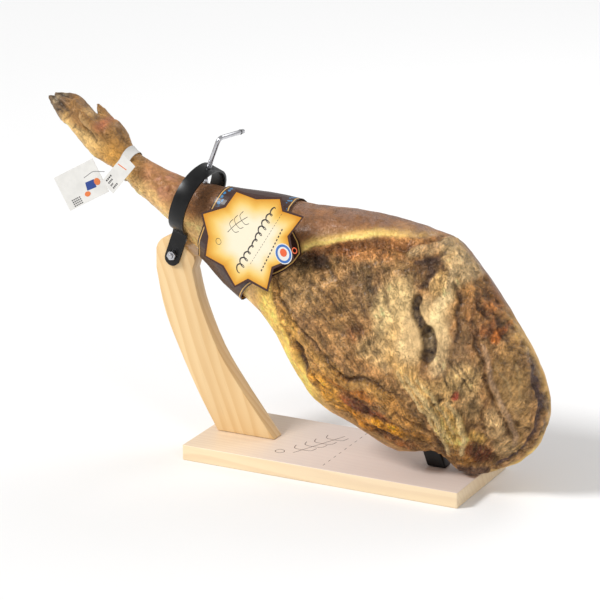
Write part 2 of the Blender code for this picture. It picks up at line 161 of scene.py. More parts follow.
class CardFinish(bpy.types.PropertyGroup):
    """Colours of the sleeve, the star card and the tags."""

    sleeve: colour_property("Sleeve", "Dark card round the shank", 58, 34, 28)
    gold: colour_property("Gold", "Gold edge of the star card", 206, 134, 18)
    cream: colour_property("Cream", "Middle of the star card", 236, 226, 200)
    white: colour_property("White", "Paper of the tags", 226, 224, 219)
    ink: colour_property("Ink", "Dark print", 44, 38, 40)
    blue: colour_property("Blue", "Blue print", 36, 66, 140)
    orange: colour_property("Orange", "Orange print", 226, 122, 62)


class StageSetup(bpy.types.PropertyGroup):
    """Camera and light."""

    azimuth: FloatProperty(
        name="Azimuth",
        description="Camera angle round the stand",
        default=radians(26.436),
        subtype="ANGLE",
    )
    elevation: FloatProperty(
        name="Elevation",
        description="Camera angle above the board",
        default=radians(17.619),
        subtype="ANGLE",
    )
    distance: FloatProperty(
        name="Distance", description="Camera distance", default=3.694, unit="LENGTH"
    )
    lens: IntProperty(name="Lens", description="Focal length in millimetres", default=180)
    key: FloatProperty(name="Key light", description="Strength of the main light", default=2.3)
    side: FloatProperty(name="Side lights", description="Power of the side lights", default=9.0)


def settings(name):
    return getattr(bpy.context.scene, name)


# ---------------------------------------------------------------- node helpers


class Graph:
    """Adds nodes to one tree in short calls."""

    def __init__(self, tree):
        self.tree = tree

    def add(self, kind, inputs=(), **values):
        node = self.tree.nodes.new("ShaderNode" + kind)
        for name, value in values.items():
            setattr(node, name, value)
        for key, value in dict(inputs).items():
            self.feed(node.inputs[key], value)
        return node

    def feed(self, socket, value):
        if isinstance(value, bpy.types.NodeSocket):
            self.tree.links.new(value, socket)
        elif isinstance(value, (tuple, list)) and len(value) == 3 and socket.type == "RGBA":
            socket.default_value = (*value, 1.0)
        else:
            socket.default_value = value

    def math(self, operation, a, b=0.0, c=0.0, clamp=False):
        return self.add("Math", {0: a, 1: b, 2: c}, operation=operation, use_clamp=clamp).outputs[0]

    def ramp(self, value, low, high, out_low=0.0, out_high=1.0):
        made = self.add("MapRange", {0: value, 1: low, 2: high, 3: out_low, 4: out_high})
        made.interpolation_type = "SMOOTHSTEP"
        return made.outputs[0]

    def mix(self, share, a, b, blend="MIX"):
        made = self.add("Mix", data_type="RGBA", blend_type=blend)
        self.feed(made.inputs[0], share)
        self.feed(made.inputs[6], a)
        self.feed(made.inputs[7], b)
        return made.outputs[2]

    def noise(self, place, scale, detail=4.0, rough=0.55, distortion=0.0):
        inputs = {
            "Vector": place,
            "Scale": scale,
            "Detail": detail,
            "Roughness": rough,
            "Distortion": distortion,
        }
        return self.add("TexNoise", inputs).outputs[0]

    def cells(self, place, scale, feature="F1", randomness=1.0):
        made = self.add("TexVoronoi", feature=feature)
        self.feed(made.inputs["Vector"], place)
        self.feed(made.inputs["Scale"], scale)
        self.feed(made.inputs["Randomness"], randomness)
        return made.outputs["Distance"]

    def mapping(self, place, location=(0, 0, 0), rotation=(0, 0, 0), scale=(1, 1, 1)):
        inputs = {"Vector": place, "Location": location, "Rotation": rotation, "Scale": scale}
        return self.add("Mapping", inputs).outputs[0]

    def place(self):
        return self.add("TexCoord").outputs["Object"]

    def attribute(self, name, output="Color"):
        return self.add("Attribute", attribute_name=name).outputs[output]

    def bump(self, height, strength, distance, normal=None):
        inputs = {"Height": height, "Strength": strength, "Distance": distance}
        if normal is not None:
            inputs["Normal"] = normal
        return self.add("Bump", inputs).outputs[0]

    def group(self, tree, **inputs):
        node = self.add("Group", node_tree=tree)
        for name, value in inputs.items():
            self.feed(node.inputs[name.replace("_", " ")], value)
        return node.outputs


def new_group(name, inputs, outputs):
    """A shader node group with float or vector inputs and outputs, and the graph to fill it."""
    tree = bpy.data.node_groups.new(name, "ShaderNodeTree")
    for title, kind, default in inputs:
        socket = tree.interface.new_socket(title, in_out="INPUT", socket_type="NodeSocket" + kind)
        if default is not None:
            socket.default_value = default
    for title, kind in outputs:
        tree.interface.new_socket(title, in_out="OUTPUT", socket_type="NodeSocket" + kind)
    graph = Graph(tree)
    start = tree.nodes.new("NodeGroupInput")
    end = tree.nodes.new("NodeGroupOutput")
    return tree, graph, start.outputs, end.inputs


def new_material(name, **constants):
    """A material with one Principled shader; constants are set on the shader's own sockets."""
    material = bpy.data.materials.new(name)
    material.use_nodes = True
    graph = Graph(material.node_tree)
    shader = material.node_tree.nodes["Principled BSDF"]
    for title, value in constants.items():
        graph.feed(shader.inputs[title.replace("_", " ")], value)
    return material, graph, shader


def shared_group(name, builder):
    """The node group of that name, built once."""
    return bpy.data.node_groups.get(name) or builder(name)


def wood_grain_group(name):
    """Grain lines of a sawn plank whose length is the vector's X."""
    inputs = [("Place", "Vector", None), ("Spacing", "Float", 0.009), ("Waver", "Float", 0.5)]
    outputs = [("Ring", "Float"), ("Fibre", "Float"), ("Patch", "Float")]
    tree, net, given, out = new_group(name, inputs, outputs)
    stretched = net.mapping(given["Place"], scale=(2.2, 14.0, 14.0))
    waver = net.noise(stretched, 1.0, 3.0, 0.5)
    parts = net.add("SeparateXYZ", {0: given["Place"]}).outputs
    across = net.math("ADD", parts[1], net.math("MULTIPLY", parts[2], 0.55))
    across = net.math("DIVIDE", across, given["Spacing"])
    across = net.math("ADD", across, net.math("MULTIPLY", waver, net.math("MULTIPLY", given["Waver"], 9.0)))
    turn = net.math("FRACT", across)
    rise = net.ramp(turn, 0.15, 0.86)
    fall = net.ramp(turn, 0.86, 1.0, 1.0, 0.0)
    net.feed(out["Ring"], net.math("MULTIPLY", rise, fall))
    fine = net.mapping(given["Place"], scale=(16.0, 520.0, 520.0))
    net.feed(out["Fibre"], net.noise(fine, 1.0, 3.0, 0.6))
    wide = net.mapping(given["Place"], scale=(3.0, 22.0, 22.0))
    net.feed(out["Patch"], net.noise(wide, 1.0, 2.0, 0.5))
    return tree


def speckle_group(name):
    """Fine mottling, dark pits and pale flecks of a dry organic surface."""
    inputs = [("Place", "Vector", None), ("Scale", "Float", 1.0)]
    outputs = [("Mottle", "Float"), ("Pits", "Float"), ("Flecks", "Float")]
    tree, net, given, out = new_group(name, inputs, outputs)
    scaled = net.add("VectorMath", {0: given["Place"]}, operation="SCALE")
    net.feed(scaled.inputs["Scale"], given["Scale"])
    at = scaled.outputs[0]
    net.feed(out["Mottle"], net.noise(at, 190.0, 4.0, 0.62, 0.6))
    pits = net.noise(at, 420.0, 3.0, 0.6)
    net.feed(out["Pits"], net.ramp(pits, 0.40, 0.28))
    flecks = net.noise(at, 640.0, 2.0, 0.6)
    net.feed(out["Flecks"], net.ramp(flecks, 0.60, 0.74))
    return tree


# ---------------------------------------------------------------- mesh helpers


def deselect_all():
    for obj in bpy.context.selected_objects:
        obj.select_set(False)


def activate(obj):
    deselect_all()
    obj.select_set(True)
    bpy.context.view_layer.objects.active = obj


def apply_modifiers(obj):
    activate(obj)
    for modifier in list(obj.modifiers):
        bpy.ops.object.modifier_apply(modifier=modifier.name)


def node_copy(node, name):
    """A copy of a CAD node as one connected mesh, free of the frame and standing for the node."""
    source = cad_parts[node]
    mesh = source.data.copy()
    mesh.materials.clear()
    obj = bpy.data.objects.new(name, mesh)
    bpy.context.scene.collection.objects.link(obj)
    for layer in list(mesh.attributes):
        if layer.name == "custom_normal":
            mesh.attributes.remove(layer)
    activate(obj)
    bpy.ops.object.mode_set(mode="EDIT")
    bpy.ops.mesh.select_all(action="SELECT")
    bpy.ops.mesh.remove_doubles(threshold=1e-5)
    bpy.ops.mesh.dissolve_limited(angle_limit=radians(0.5))
    bpy.ops.mesh.normals_make_consistent(inside=False)
    bpy.ops.object.mode_set(mode="OBJECT")
    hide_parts(node)
    return obj


def smooth_shaded(obj, degrees=35.0):
    activate(obj)
    bpy.ops.object.shade_smooth_by_angle(angle=radians(degrees))


def add_bevel(obj, width, segments=3, degrees=40.0):
    bevel = obj.modifiers.new("broken_edges", "BEVEL")
    bevel.width = width
    bevel.segments = segments
    bevel.limit_method = "ANGLE"
    bevel.angle_limit = radians(degrees)
    bevel.harden_normals = False
    apply_modifiers(obj)


def finish_piece(obj, material, body):
    obj.data.materials.clear()
    obj.data.materials.append(material)
    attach(obj, body)
    return obj


def place_mesh(obj, matrix):
    """Puts a piece's place into its mesh, so that its object stays at the origin."""
    obj.data.transform(matrix @ obj.matrix_world)
    obj.matrix_world = Matrix.Identity(4)


def joined(pieces, name):
    activate(pieces[0])
    for piece in pieces[1:]:
        piece.select_set(True)
    if len(pieces) > 1:
        bpy.ops.object.join()
    made = bpy.context.view_layer.objects.active
    made.name = name
    made.data.name = name
    return made


def curve_mesh(points, closed, **shape):
    """A curve through points (x, y), or (x, y, radius), made into a mesh."""
    curve = bpy.data.curves.new("drawn_line", "CURVE")
    spline = curve.splines.new("POLY")
    spline.points.add(len(points) - 1)
    for target, point in zip(spline.points, points):
        target.co = (point[0], point[1], 0.0, 1.0)
        target.radius = point[2] if len(point) > 2 else 1.0
    spline.use_cyclic_u = closed
    for name, value in shape.items():
        setattr(curve, name, value)
    obj = bpy.data.objects.new("drawn_line", curve)
    bpy.context.scene.collection.objects.link(obj)
    activate(obj)
    bpy.ops.object.convert(target="MESH")
    obj = bpy.context.object
    bpy.ops.object.mode_set(mode="EDIT")
    bpy.ops.mesh.select_all(action="SELECT")
    bpy.ops.mesh.remove_doubles(threshold=1e-6)
    bpy.ops.mesh.normals_make_consistent(inside=False)
    bpy.ops.object.mode_set(mode="OBJECT")
    return obj


def line_mesh(points, width, rise=0.00012, closed=False):
    """A printed line: a closed round bead pressed flat, standing proud by rise."""
    bead = {"dimensions": "3D", "bevel_depth": width / 2, "bevel_resolution": 1, "use_fill_caps": True}
    obj = curve_mesh(points, closed, **bead)
    obj.data.transform(Matrix.Diagonal((1, 1, 2 * rise / width, 1)))
    return obj


def shape_mesh(outline, thickness=0.00012):
    """A flat printed shape with the given outline (x, y), its back at z = 0."""
    obj = curve_mesh(outline, True, dimensions="2D", fill_mode="BOTH", extrude=thickness / 2)
    obj.data.transform(Matrix.Translation((0, 0, thickness / 2)))
    return obj


def ellipse(centre, radius, squash=1.0, turn=0.0, sides=36):
    """Points (x, y) round an ellipse."""
    made = []
    for i in range(sides):
        a = 2 * pi * i / sides
        x, y = radius * cos(a), radius * squash * sin(a)
        made.append((centre[0] + x * cos(turn) - y * sin(turn), centre[1] + x * sin(turn) + y * cos(turn)))
    return made


def disc_mesh(centre, radius, squash=1.0, turn=0.0):
    return shape_mesh(ellipse(centre, radius, squash, turn))


def ring_mesh(centre, radius, width):
    return line_mesh(ellipse(centre, radius - width / 2), width, closed=True)


def print_piece(name, pieces, matrix, material, lift):
    """Printed shapes laid on a card: joined, lifted off its face and placed."""
    obj = joined(pieces, name)
    place_mesh(obj, matrix @ Matrix.Translation((0, 0, lift)))
    smooth_shaded(obj)
    return finish_piece(obj, material, STAND)


def curve_points(points, count):
    """Points along a smooth curve through the given (x, y) points."""
    last = len(points) - 1
    made = []
    for i in range(count + 1):
        at = last * i / count
        k = min(int(at), last - 1)
        t = at - k
        before, start, end, after = (Vector(points[min(max(k + j, 0), last)]) for j in (-1, 0, 1, 2))
        slope = end - before
        bend = 2 * before - 5 * start + 4 * end - after
        twist = 3 * (start - end) + after - before
        made.append(0.5 * (2 * start + slope * t + bend * t**2 + twist * t**3))
    return [tuple(point) for point in made]


# ---------------------------------------------------------------- wood


def pine_material(name, grain_turn, tone=1.0, pale_and_top_sheen=0.0):
    """Lacquered pine, its grain turned about Y so that it runs along the plank."""
    wood = settings("ham_wood")
    lacquer = {"Specular_IOR_Level": 0.45, "Coat_Weight": 0.25, "Coat_Roughness": 0.22}
    material, net, shader = new_material(name, **lacquer)
    place = net.mapping(net.place(), rotation=(0.0, grain_turn, 0.0))
    grain = net.group(shared_group("wood_grain", wood_grain_group), Place=place, Spacing=wood.ring_spacing)
    early = tuple(part * tone for part in wood.early)
    late = tuple(part * tone for part in wood.late)
    colour = net.mix(net.math("MULTIPLY", grain["Ring"], 0.55), early, late)
    colour = net.mix(net.ramp(grain["Patch"], 0.35, 0.75, 0.0, 0.45), colour, late)
    pore = tuple(part * 0.72 for part in late)
    colour = net.mix(net.ramp(grain["Fibre"], 0.55, 0.8, 0.0, 0.22), colour, pore)
    # Paler wood all over by a given share. On the upward faces, stronger towards +X, a grey-pink cast of
    # painted reflection stands for the lacquered top's sheen.
    if pale_and_top_sheen:
        upward = net.add("SeparateXYZ", {0: net.add("NewGeometry").outputs["Normal"]}).outputs[2]
        along = net.add("SeparateXYZ", {0: net.place()}).outputs[0]
        top_sheen = net.ramp(along, -0.15, -0.03, pale_and_top_sheen * 0.4, pale_and_top_sheen)
        share = net.math("MULTIPLY", net.ramp(upward, 0.5, 0.9), top_sheen)
        paler = net.ramp(grain["Patch"], 0.2, 0.8, 0.30, 0.45)
        colour = net.mix(paler, colour, linear(240, 232, 214))
        # Painted reflection: the grey-pink cast on the board's top face.
        colour = net.mix(share, colour, linear(212, 198, 198))
    net.feed(shader.inputs["Base Color"], colour)
    net.feed(shader.inputs["Roughness"], net.ramp(grain["Fibre"], 0.2, 0.8, 0.34, 0.52))
    height = net.math("ADD", grain["Fibre"], net.math("MULTIPLY", grain["Ring"], 0.4))
    net.feed(shader.inputs["Normal"], net.bump(height, 0.12, 0.0004))
    return material


class HAM_OT_wood(bpy.types.Operator):
    """Finishes the board and the curved post in lacquered pine"""

    bl_idname = "ham.wood"
    bl_label = "Board and post"

    def execute(self, context):
        board = node_copy("base_board", "pine_board")
        smooth_shaded(board)
        finish_piece(board, pine_material("pine_along_board", 0.0, 1.0, 0.7), STAND)
        post = node_copy("post", "pine_post")
        smooth_shaded(post, 30.0)
        finish_piece(post, pine_material("pine_up_the_post", radians(110.0), 0.97), STAND)
        return {"FINISHED"}


class HAM_OT_engraving(bpy.types.Operator):
    """Burns a plain sprig, a ring and a dashed line into the top of the board"""

    bl_idname = "ham.engraving"
    bl_label = "Board engraving"

    def execute(self, context):
        material, net, shader = new_material("scorched_line", Roughness=0.7)
        char = net.noise(net.place(), 260.0, 3.0)
        burnt = net.mix(net.ramp(char, 0.35, 0.65), linear(58, 42, 36), linear(104, 82, 70))
        net.feed(shader.inputs["Base Color"], burnt)
        width = 0.0010
        sprig = [(-0.050, -0.040), (-0.040, -0.015), (-0.030, 0.010), (-0.018, 0.040)]
        pieces = [line_mesh(curve_points(sprig, 24), width)]
        for share in (0.2, 0.4, 0.6, 0.8):
            stem = Vector(curve_points(sprig, 20)[round(share * 20)])
            for side in (-1, 1):
                tip = stem + Vector((0.014 * side, 0.012))
                bow = (stem + tip) / 2 + Vector((0.004 * side, -0.004))
                leaf = [tuple(stem), tuple(bow), tuple(tip)]
                pieces.append(line_mesh(curve_points(leaf, 10), width))
        pieces.append(ring_mesh((-0.067, -0.042), 0.0062, width))
        for i in range(9):
            y = -0.060 + 0.120 * i / 8
            pieces.append(line_mesh([(0.002, y - 0.003), (0.002, y + 0.003)], width * 0.8))
        print_piece("board_engraving", pieces, Matrix.Translation((0, 0, BOARD_TOP)), material, 0.0)
        return {"FINISHED"}


# ---------------------------------------------------------------- clamp


def enamel_material():
    metal = settings("ham_metal")
    material, net, shader = new_material("black_enamel", Specular_IOR_Level=0.35)
    peel = net.noise(net.place(), 420.0, 3.0, 0.5)
    dust = net.noise(net.place(), 60.0, 4.0, 0.6)
    pale = tuple(part + 0.004 for part in metal.enamel)
    colour = net.mix(net.ramp(dust, 0.45, 0.7, 0.0, 0.6), tuple(metal.enamel), pale)
    net.feed(shader.inputs["Base Color"], colour)
    net.feed(shader.inputs["Roughness"], net.ramp(dust, 0.3, 0.7, 0.30, 0.42))
    net.feed(shader.inputs["Normal"], net.bump(peel, 0.10, 0.0003))
    return material


def steel_material():
    metal = settings("ham_metal")
    material, net, shader = new_material("bright_steel", Metallic=1.0)
    stains = net.noise(net.place(), 140.0, 4.0, 0.6)
    along_rod = net.mapping(net.place(), rotation=(0, -CLAMP_LEAN, 0), scale=(900, 900, 60))
    lines = net.noise(along_rod, 1.0, 2.0)
    dull = tuple(part * 0.7 for part in metal.steel)
    colour = net.mix(net.ramp(stains, 0.4, 0.75, 0.0, 0.6), tuple(metal.steel), dull)
    net.feed(shader.inputs["Base Color"], colour)
    net.feed(shader.inputs["Roughness"], net.ramp(stains, 0.3, 0.7, 0.16, 0.32))
    net.feed(shader.inputs["Normal"], net.bump(lines, 0.05, 0.0002))
    return material


class HAM_OT_clamp(bpy.types.Operator):
    """Finishes the hoop, the block, the bolt and nut, the screw and its foot"""

    bl_idname = "ham.clamp"
    bl_label = "Clamp"

    def execute(self, context):
        edge = settings("ham_metal").edge_break
        enamel = enamel_material()
        steel = steel_material()
        hoop = node_copy("clamp_hoop", "enamelled_hoop")
        add_bevel(hoop, edge, 2)
        smooth_shaded(hoop)
        finish_piece(hoop, enamel, STAND)
        block = node_copy("ham_support", "enamelled_block")
        smooth_shaded(block)
        finish_piece(block, enamel, STAND)
        for node, name, body in (
            ("pivot_bolt", "plated_bolt", STAND),
            ("pivot_nut", "plated_nut", STAND),
            ("clamp_foot", "swivel_foot", FOOT),
        ):
            piece = node_copy(node, name)
            add_bevel(piece, edge, 2)
            smooth_shaded(piece)
            finish_piece(piece, steel, body)
        rod = node_copy("clamp_screw", "crank_rod")
        add_bevel(rod, edge, 2, 60.0)
        smooth_shaded(rod, 40.0)
        finish_piece(rod, steel, SCREW)
        self.add_thread(steel)
        self.add_crank_ring()
        return {"FINISHED"}

    def add_thread(self, steel):
        """The rolled thread of the screw, a fine wire wound up the rod."""
        pitch, bottom, top, radius = 0.0015, 0.108, 0.132, 0.0029
        deselect_all()
        bpy.ops.mesh.primitive_circle_add(vertices=4, radius=0.00035, fill_type="NOTHING")
        wire = bpy.context.object
        wire.data.transform(Matrix.Translation((radius, 0, 0)) @ Matrix.Rotation(pi / 2, 4, "X"))
        screw = wire.modifiers.new("thread", "SCREW")
        screw.screw_offset = pitch
        screw.iterations = int((top - bottom) / pitch)
        screw.steps = 24
        screw.render_steps = 24
        screw.use_merge_vertices = False
        apply_modifiers(wire)
        activate(wire)
        bpy.ops.object.mode_set(mode="EDIT")
        bpy.ops.mesh.select_all(action="SELECT")
        bpy.ops.mesh.fill_holes(sides=4)
        bpy.ops.mesh.normals_make_consistent(inside=False)
        bpy.ops.object.mode_set(mode="OBJECT")
        wire.name = "screw_thread"
        place_mesh(wire, CLAMP @ Matrix.Translation((0, 0, bottom)))
        finish_piece(wire, steel, SCREW)

    def add_crank_ring(self):
        """A dark ring near the crank's end, painted shade standing for the shade in the small hole there.
        """
        material, net, shader = new_material("ring_shadow", Roughness=0.6)
        # Two dark tones mottled by noise; the whole ring is painted shade.
        shade_mottle = net.noise(net.place(), 700.0, 3.0)
        dark = net.mix(net.ramp(shade_mottle, 0.4, 0.6), linear(30, 30, 32), linear(62, 60, 58))
        net.feed(shader.inputs["Base Color"], dark)
        deselect_all()
        bpy.ops.mesh.primitive_torus_add(
            major_radius=0.0029, minor_radius=0.0004, major_segments=32, minor_segments=8
        )
        ring = bpy.context.object
        out = Vector((cos(radians(83)), sin(radians(83)), 0))
        at = out * 0.046 + Vector((0, 0, 0.1625))
        turn = out.to_track_quat("Z", "Y").to_matrix().to_4x4()
        ring.data.transform(Matrix.Translation(at) @ turn)
        ring.name = "crank_shade_ring"
        place_mesh(ring, CLAMP)
        smooth_shaded(ring)
        finish_piece(ring, material, SCREW)


# ---------------------------------------------------------------- ham


# The edge between rind and cut flesh, as (x, z), round the flesh face.
FLESH_EDGE = [
    (-0.078, 0.250), (-0.056, 0.268), (-0.034, 0.281), (-0.021, 0.288), (0.010, 0.296), (0.049, 0.306),
    (0.075, 0.307), (0.109, 0.306), (0.133, 0.310), (0.150, 0.306), (0.170, 0.282), (0.195, 0.252),
    (0.222, 0.217), (0.244, 0.184), (0.256, 0.160), (0.263, 0.142), (0.268, 0.118), (0.265, 0.094),
    (0.254, 0.070), (0.240, 0.052), (0.213, 0.034), (0.176, 0.028), (0.145, 0.040), (0.119, 0.051),
    (0.090, 0.060), (0.060, 0.071), (0.030, 0.085), (0.006, 0.102), (-0.016, 0.124), (-0.028, 0.146),
    (-0.045, 0.168), (-0.062, 0.192), (-0.072, 0.220),
]

# Marks on the seen side: name, path as (x, z), half width, depth, width of the soft edge.
GROOVES = [
    ("slot", [(0.119, 0.244), (0.116, 0.235), (0.119, 0.226), (0.126, 0.216), (0.134, 0.206)],
     0.0040, 0.0060, 0.0022),
    ("slot_bulb", [(0.134, 0.206), (0.1395, 0.193), (0.139, 0.184), (0.1365, 0.179)],
     0.0076, 0.0070, 0.0024),
    ("hollow", [(-0.040, 0.276), (-0.024, 0.272), (-0.008, 0.270)], 0.0040, 0.0050, 0.0080),
    ("crack_top", [(-0.068, 0.238), (-0.059, 0.219), (-0.045, 0.196), (-0.030, 0.185)],
     0.0009, 0.0028, 0.0018),
    ("crack_low", [(-0.030, 0.185), (-0.010, 0.172), (0.013, 0.150), (0.036, 0.136), (0.050, 0.141),
                   (0.062, 0.141), (0.086, 0.132), (0.104, 0.126)], 0.0010, 0.0030, 0.0020),
    ("eye", [(-0.038, 0.172), (-0.031, 0.157), (-0.022, 0.138)], 0.0026, 0.0055, 0.0026),
    ("edge_line", [(0.245, 0.170), (0.250, 0.154), (0.257, 0.140), (0.2615, 0.126), (0.262, 0.113),
                   (0.259, 0.095), (0.248, 0.073), (0.235, 0.057), (0.211, 0.040)], 0.0012, 0.0030, 0.0018),
    ("slit", [(0.147, 0.119), (0.152, 0.123), (0.162, 0.130)], 0.0012, 0.0032, 0.0014),
    ("seam_side", [(0.201, 0.178), (0.204, 0.155), (0.214, 0.131), (0.225, 0.106), (0.231, 0.084)],
     0.0010, 0.0028, 0.0020),
    ("eyelet", [(0.2085, 0.156), (0.205, 0.1595), (0.2015, 0.156), (0.205, 0.1525), (0.2085, 0.156)],
     0.0007, 0.0016, 0.0012),
    ("pocket", [(0.238, 0.104), (0.242, 0.099)], 0.0018, 0.0030, 0.0018),
    ("sinew_a", [(0.161, 0.178), (0.172, 0.166), (0.182, 0.153), (0.190, 0.139)], 0.0008, 0.0020, 0.0014),
    ("sinew_b", [(0.170, 0.178), (0.181, 0.164), (0.191, 0.150)], 0.0007, 0.0018, 0.0014),
    ("sinew_c", [(0.152, 0.172), (0.160, 0.158), (0.164, 0.142)], 0.0008, 0.0018, 0.0014),
    ("lump_side", [(0.207, 0.130), (0.201, 0.112), (0.200, 0.095), (0.205, 0.080)], 0.0012, 0.0030, 0.0026),
    ("under_lip", [(-0.030, 0.277), (0.010, 0.289), (0.049, 0.299), (0.075, 0.300), (0.108, 0.298)],
     0.0022, 0.0036, 0.0050),
    ("vee_top", [(0.108, 0.284), (0.120, 0.285), (0.129, 0.288), (0.138, 0.294)], 0.0020, 0.0034, 0.0030),
    ("vee_side", [(0.124, 0.284), (0.131, 0.274), (0.127, 0.264), (0.120, 0.258)], 0.0022, 0.0032, 0.0032),
    ("fold_low", [(0.100, 0.102), (0.122, 0.092), (0.143, 0.078), (0.150, 0.060)], 0.0012, 0.0028, 0.0026),
    ("amber_a", [(0.000, 0.136), (0.022, 0.122), (0.052, 0.112), (0.076, 0.108)], 0.0008, 0.0020, 0.0018),
    ("amber_b", [(0.036, 0.100), (0.068, 0.094), (0.098, 0.088), (0.118, 0.080)], 0.0009, 0.0022, 0.0020),
    ("amber_c", [(0.056, 0.082), (0.088, 0.072), (0.116, 0.064)], 0.0008, 0.0018, 0.0018),
    ("amber_d", [(-0.018, 0.146), (-0.006, 0.128), (0.012, 0.112)], 0.0008, 0.0018, 0.0018),
    ("band_a", [(0.158, 0.262), (0.167, 0.246), (0.164, 0.230), (0.171, 0.212), (0.168, 0.198)],
     0.0014, 0.0034, 0.0024),
    ("band_b", [(0.178, 0.252), (0.186, 0.236), (0.198, 0.224)], 0.0013, 0.0030, 0.0022),
    ("band_c", [(0.182, 0.222), (0.190, 0.210), (0.188, 0.196), (0.196, 0.186)], 0.0013, 0.0030, 0.0022),
    ("band_d", [(0.206, 0.222), (0.214, 0.206), (0.222, 0.196)], 0.0010, 0.0024, 0.0020),
    ("scratch_a", [(0.214, 0.172), (0.228, 0.150), (0.234, 0.134)], 0.0006, 0.0014, 0.0012),
    ("scratch_b", [(0.232, 0.172), (0.240, 0.152), (0.242, 0.132)], 0.0006, 0.0014, 0.0012),
    ("streak_a", [(0.000, 0.262), (0.020, 0.250), (0.034, 0.232)], 0.0008, 0.0018, 0.0018),
    ("streak_b", [(-0.024, 0.246), (0.002, 0.236), (0.018, 0.220)], 0.0008, 0.0018, 0.0018),
    ("streak_c", [(0.028, 0.224), (0.048, 0.206), (0.056, 0.190)], 0.0009, 0.0020, 0.0018),
    ("streak_d", [(-0.010, 0.216), (0.008, 0.200), (0.030, 0.190)], 0.0008, 0.0018, 0.0018),
    ("streak_e", [(0.066, 0.262), (0.080, 0.244), (0.086, 0.226)], 0.0010, 0.0020, 0.0020),
    ("dew_crease", [(-0.352, 0.404), (-0.345, 0.395), (-0.337, 0.387), (-0.329, 0.378)],
     0.0011, 0.0034, 0.0018),
    ("toe_gap", [(-0.399, 0.4255), (-0.388, 0.4205), (-0.378, 0.4145), (-0.370, 0.409)],
     0.0014, 0.0034, 0.0018),
    ("toe_fold_a", [(-0.391, 0.409), (-0.383, 0.411), (-0.377, 0.407)], 0.0008, 0.0018, 0.0014),
    ("toe_fold_b", [(-0.378, 0.398), (-0.370, 0.403), (-0.366, 0.409)], 0.0007, 0.0014, 0.0014),
    ("toe_fold_c", [(-0.366, 0.389), (-0.359, 0.396)], 0.0007, 0.0014, 0.0014),
]
RIDGES = [
    ("tendon_a", [(0.114, 0.152), (0.122, 0.143), (0.137, 0.127), (0.150, 0.102), (0.156, 0.074),
                  (0.157, 0.052)], 0.0020, 0.0038, 0.0030),
    ("tendon_b", [(0.136, 0.114), (0.154, 0.094), (0.165, 0.069)], 0.0013, 0.0026, 0.0024),
    ("tendon_c", [(0.164, 0.124), (0.175, 0.103), (0.179, 0.076), (0.174, 0.055)], 0.0020, 0.0034, 0.0030),
    ("tendon_d", [(0.101, 0.156), (0.122, 0.130), (0.140, 0.103), (0.150, 0.079)], 0.0011, 0.0024, 0.0022),
    ("tendon_e", [(0.128, 0.150), (0.144, 0.134), (0.160, 0.108), (0.168, 0.084)], 0.0011, 0.0022, 0.0022),
    ("seam_lip", [(0.198, 0.194), (0.205, 0.177), (0.210, 0.155), (0.221, 0.131), (0.232, 0.106),
                  (0.238, 0.085), (0.235, 0.071)], 0.0020, 0.0034, 0.0030),
    ("lump", [(0.213, 0.118), (0.220, 0.098), (0.222, 0.084)], 0.0050, 0.0038, 0.0080),
    ("corner", [(0.136, 0.304), (0.149, 0.299), (0.160, 0.284), (0.170, 0.270)], 0.0040, 0.0040, 0.0060),
    ("corner_in", [(0.150, 0.290), (0.153, 0.272), (0.152, 0.256)], 0.0026, 0.0030, 0.0040),
    ("eye_lip", [(-0.030, 0.180), (-0.022, 0.166), (-0.014, 0.148), (-0.012, 0.138)],
     0.0022, 0.0034, 0.0034),
    ("eye_lid", [(-0.044, 0.166), (-0.038, 0.152), (-0.030, 0.136)], 0.0020, 0.0028, 0.0030),
    ("crack_lip", [(-0.034, 0.176), (-0.014, 0.163), (0.010, 0.142), (0.036, 0.128), (0.060, 0.133),
                   (0.088, 0.124)], 0.0030, 0.0032, 0.0040),
    ("fold_roll", [(0.168, 0.036), (0.182, 0.033), (0.198, 0.035)], 0.0030, 0.0030, 0.0030),
    ("brow", [(0.100, 0.293), (0.118, 0.297), (0.134, 0.301)], 0.0030, 0.0034, 0.0040),
    ("pad", [(0.147, 0.238), (0.151, 0.216), (0.154, 0.194)], 0.0050, 0.0022, 0.0070),
    ("granule", [(0.194, 0.078), (0.198, 0.074)], 0.0034, 0.0030, 0.0040),
    ("dew_claw", [(-0.355, 0.409), (-0.347, 0.402), (-0.338, 0.394)], 0.0026, 0.0040, 0.0030),
    ("shank_knob", [(-0.231, 0.328), (-0.229, 0.328)], 0.0020, 0.0024, 0.0040),
]

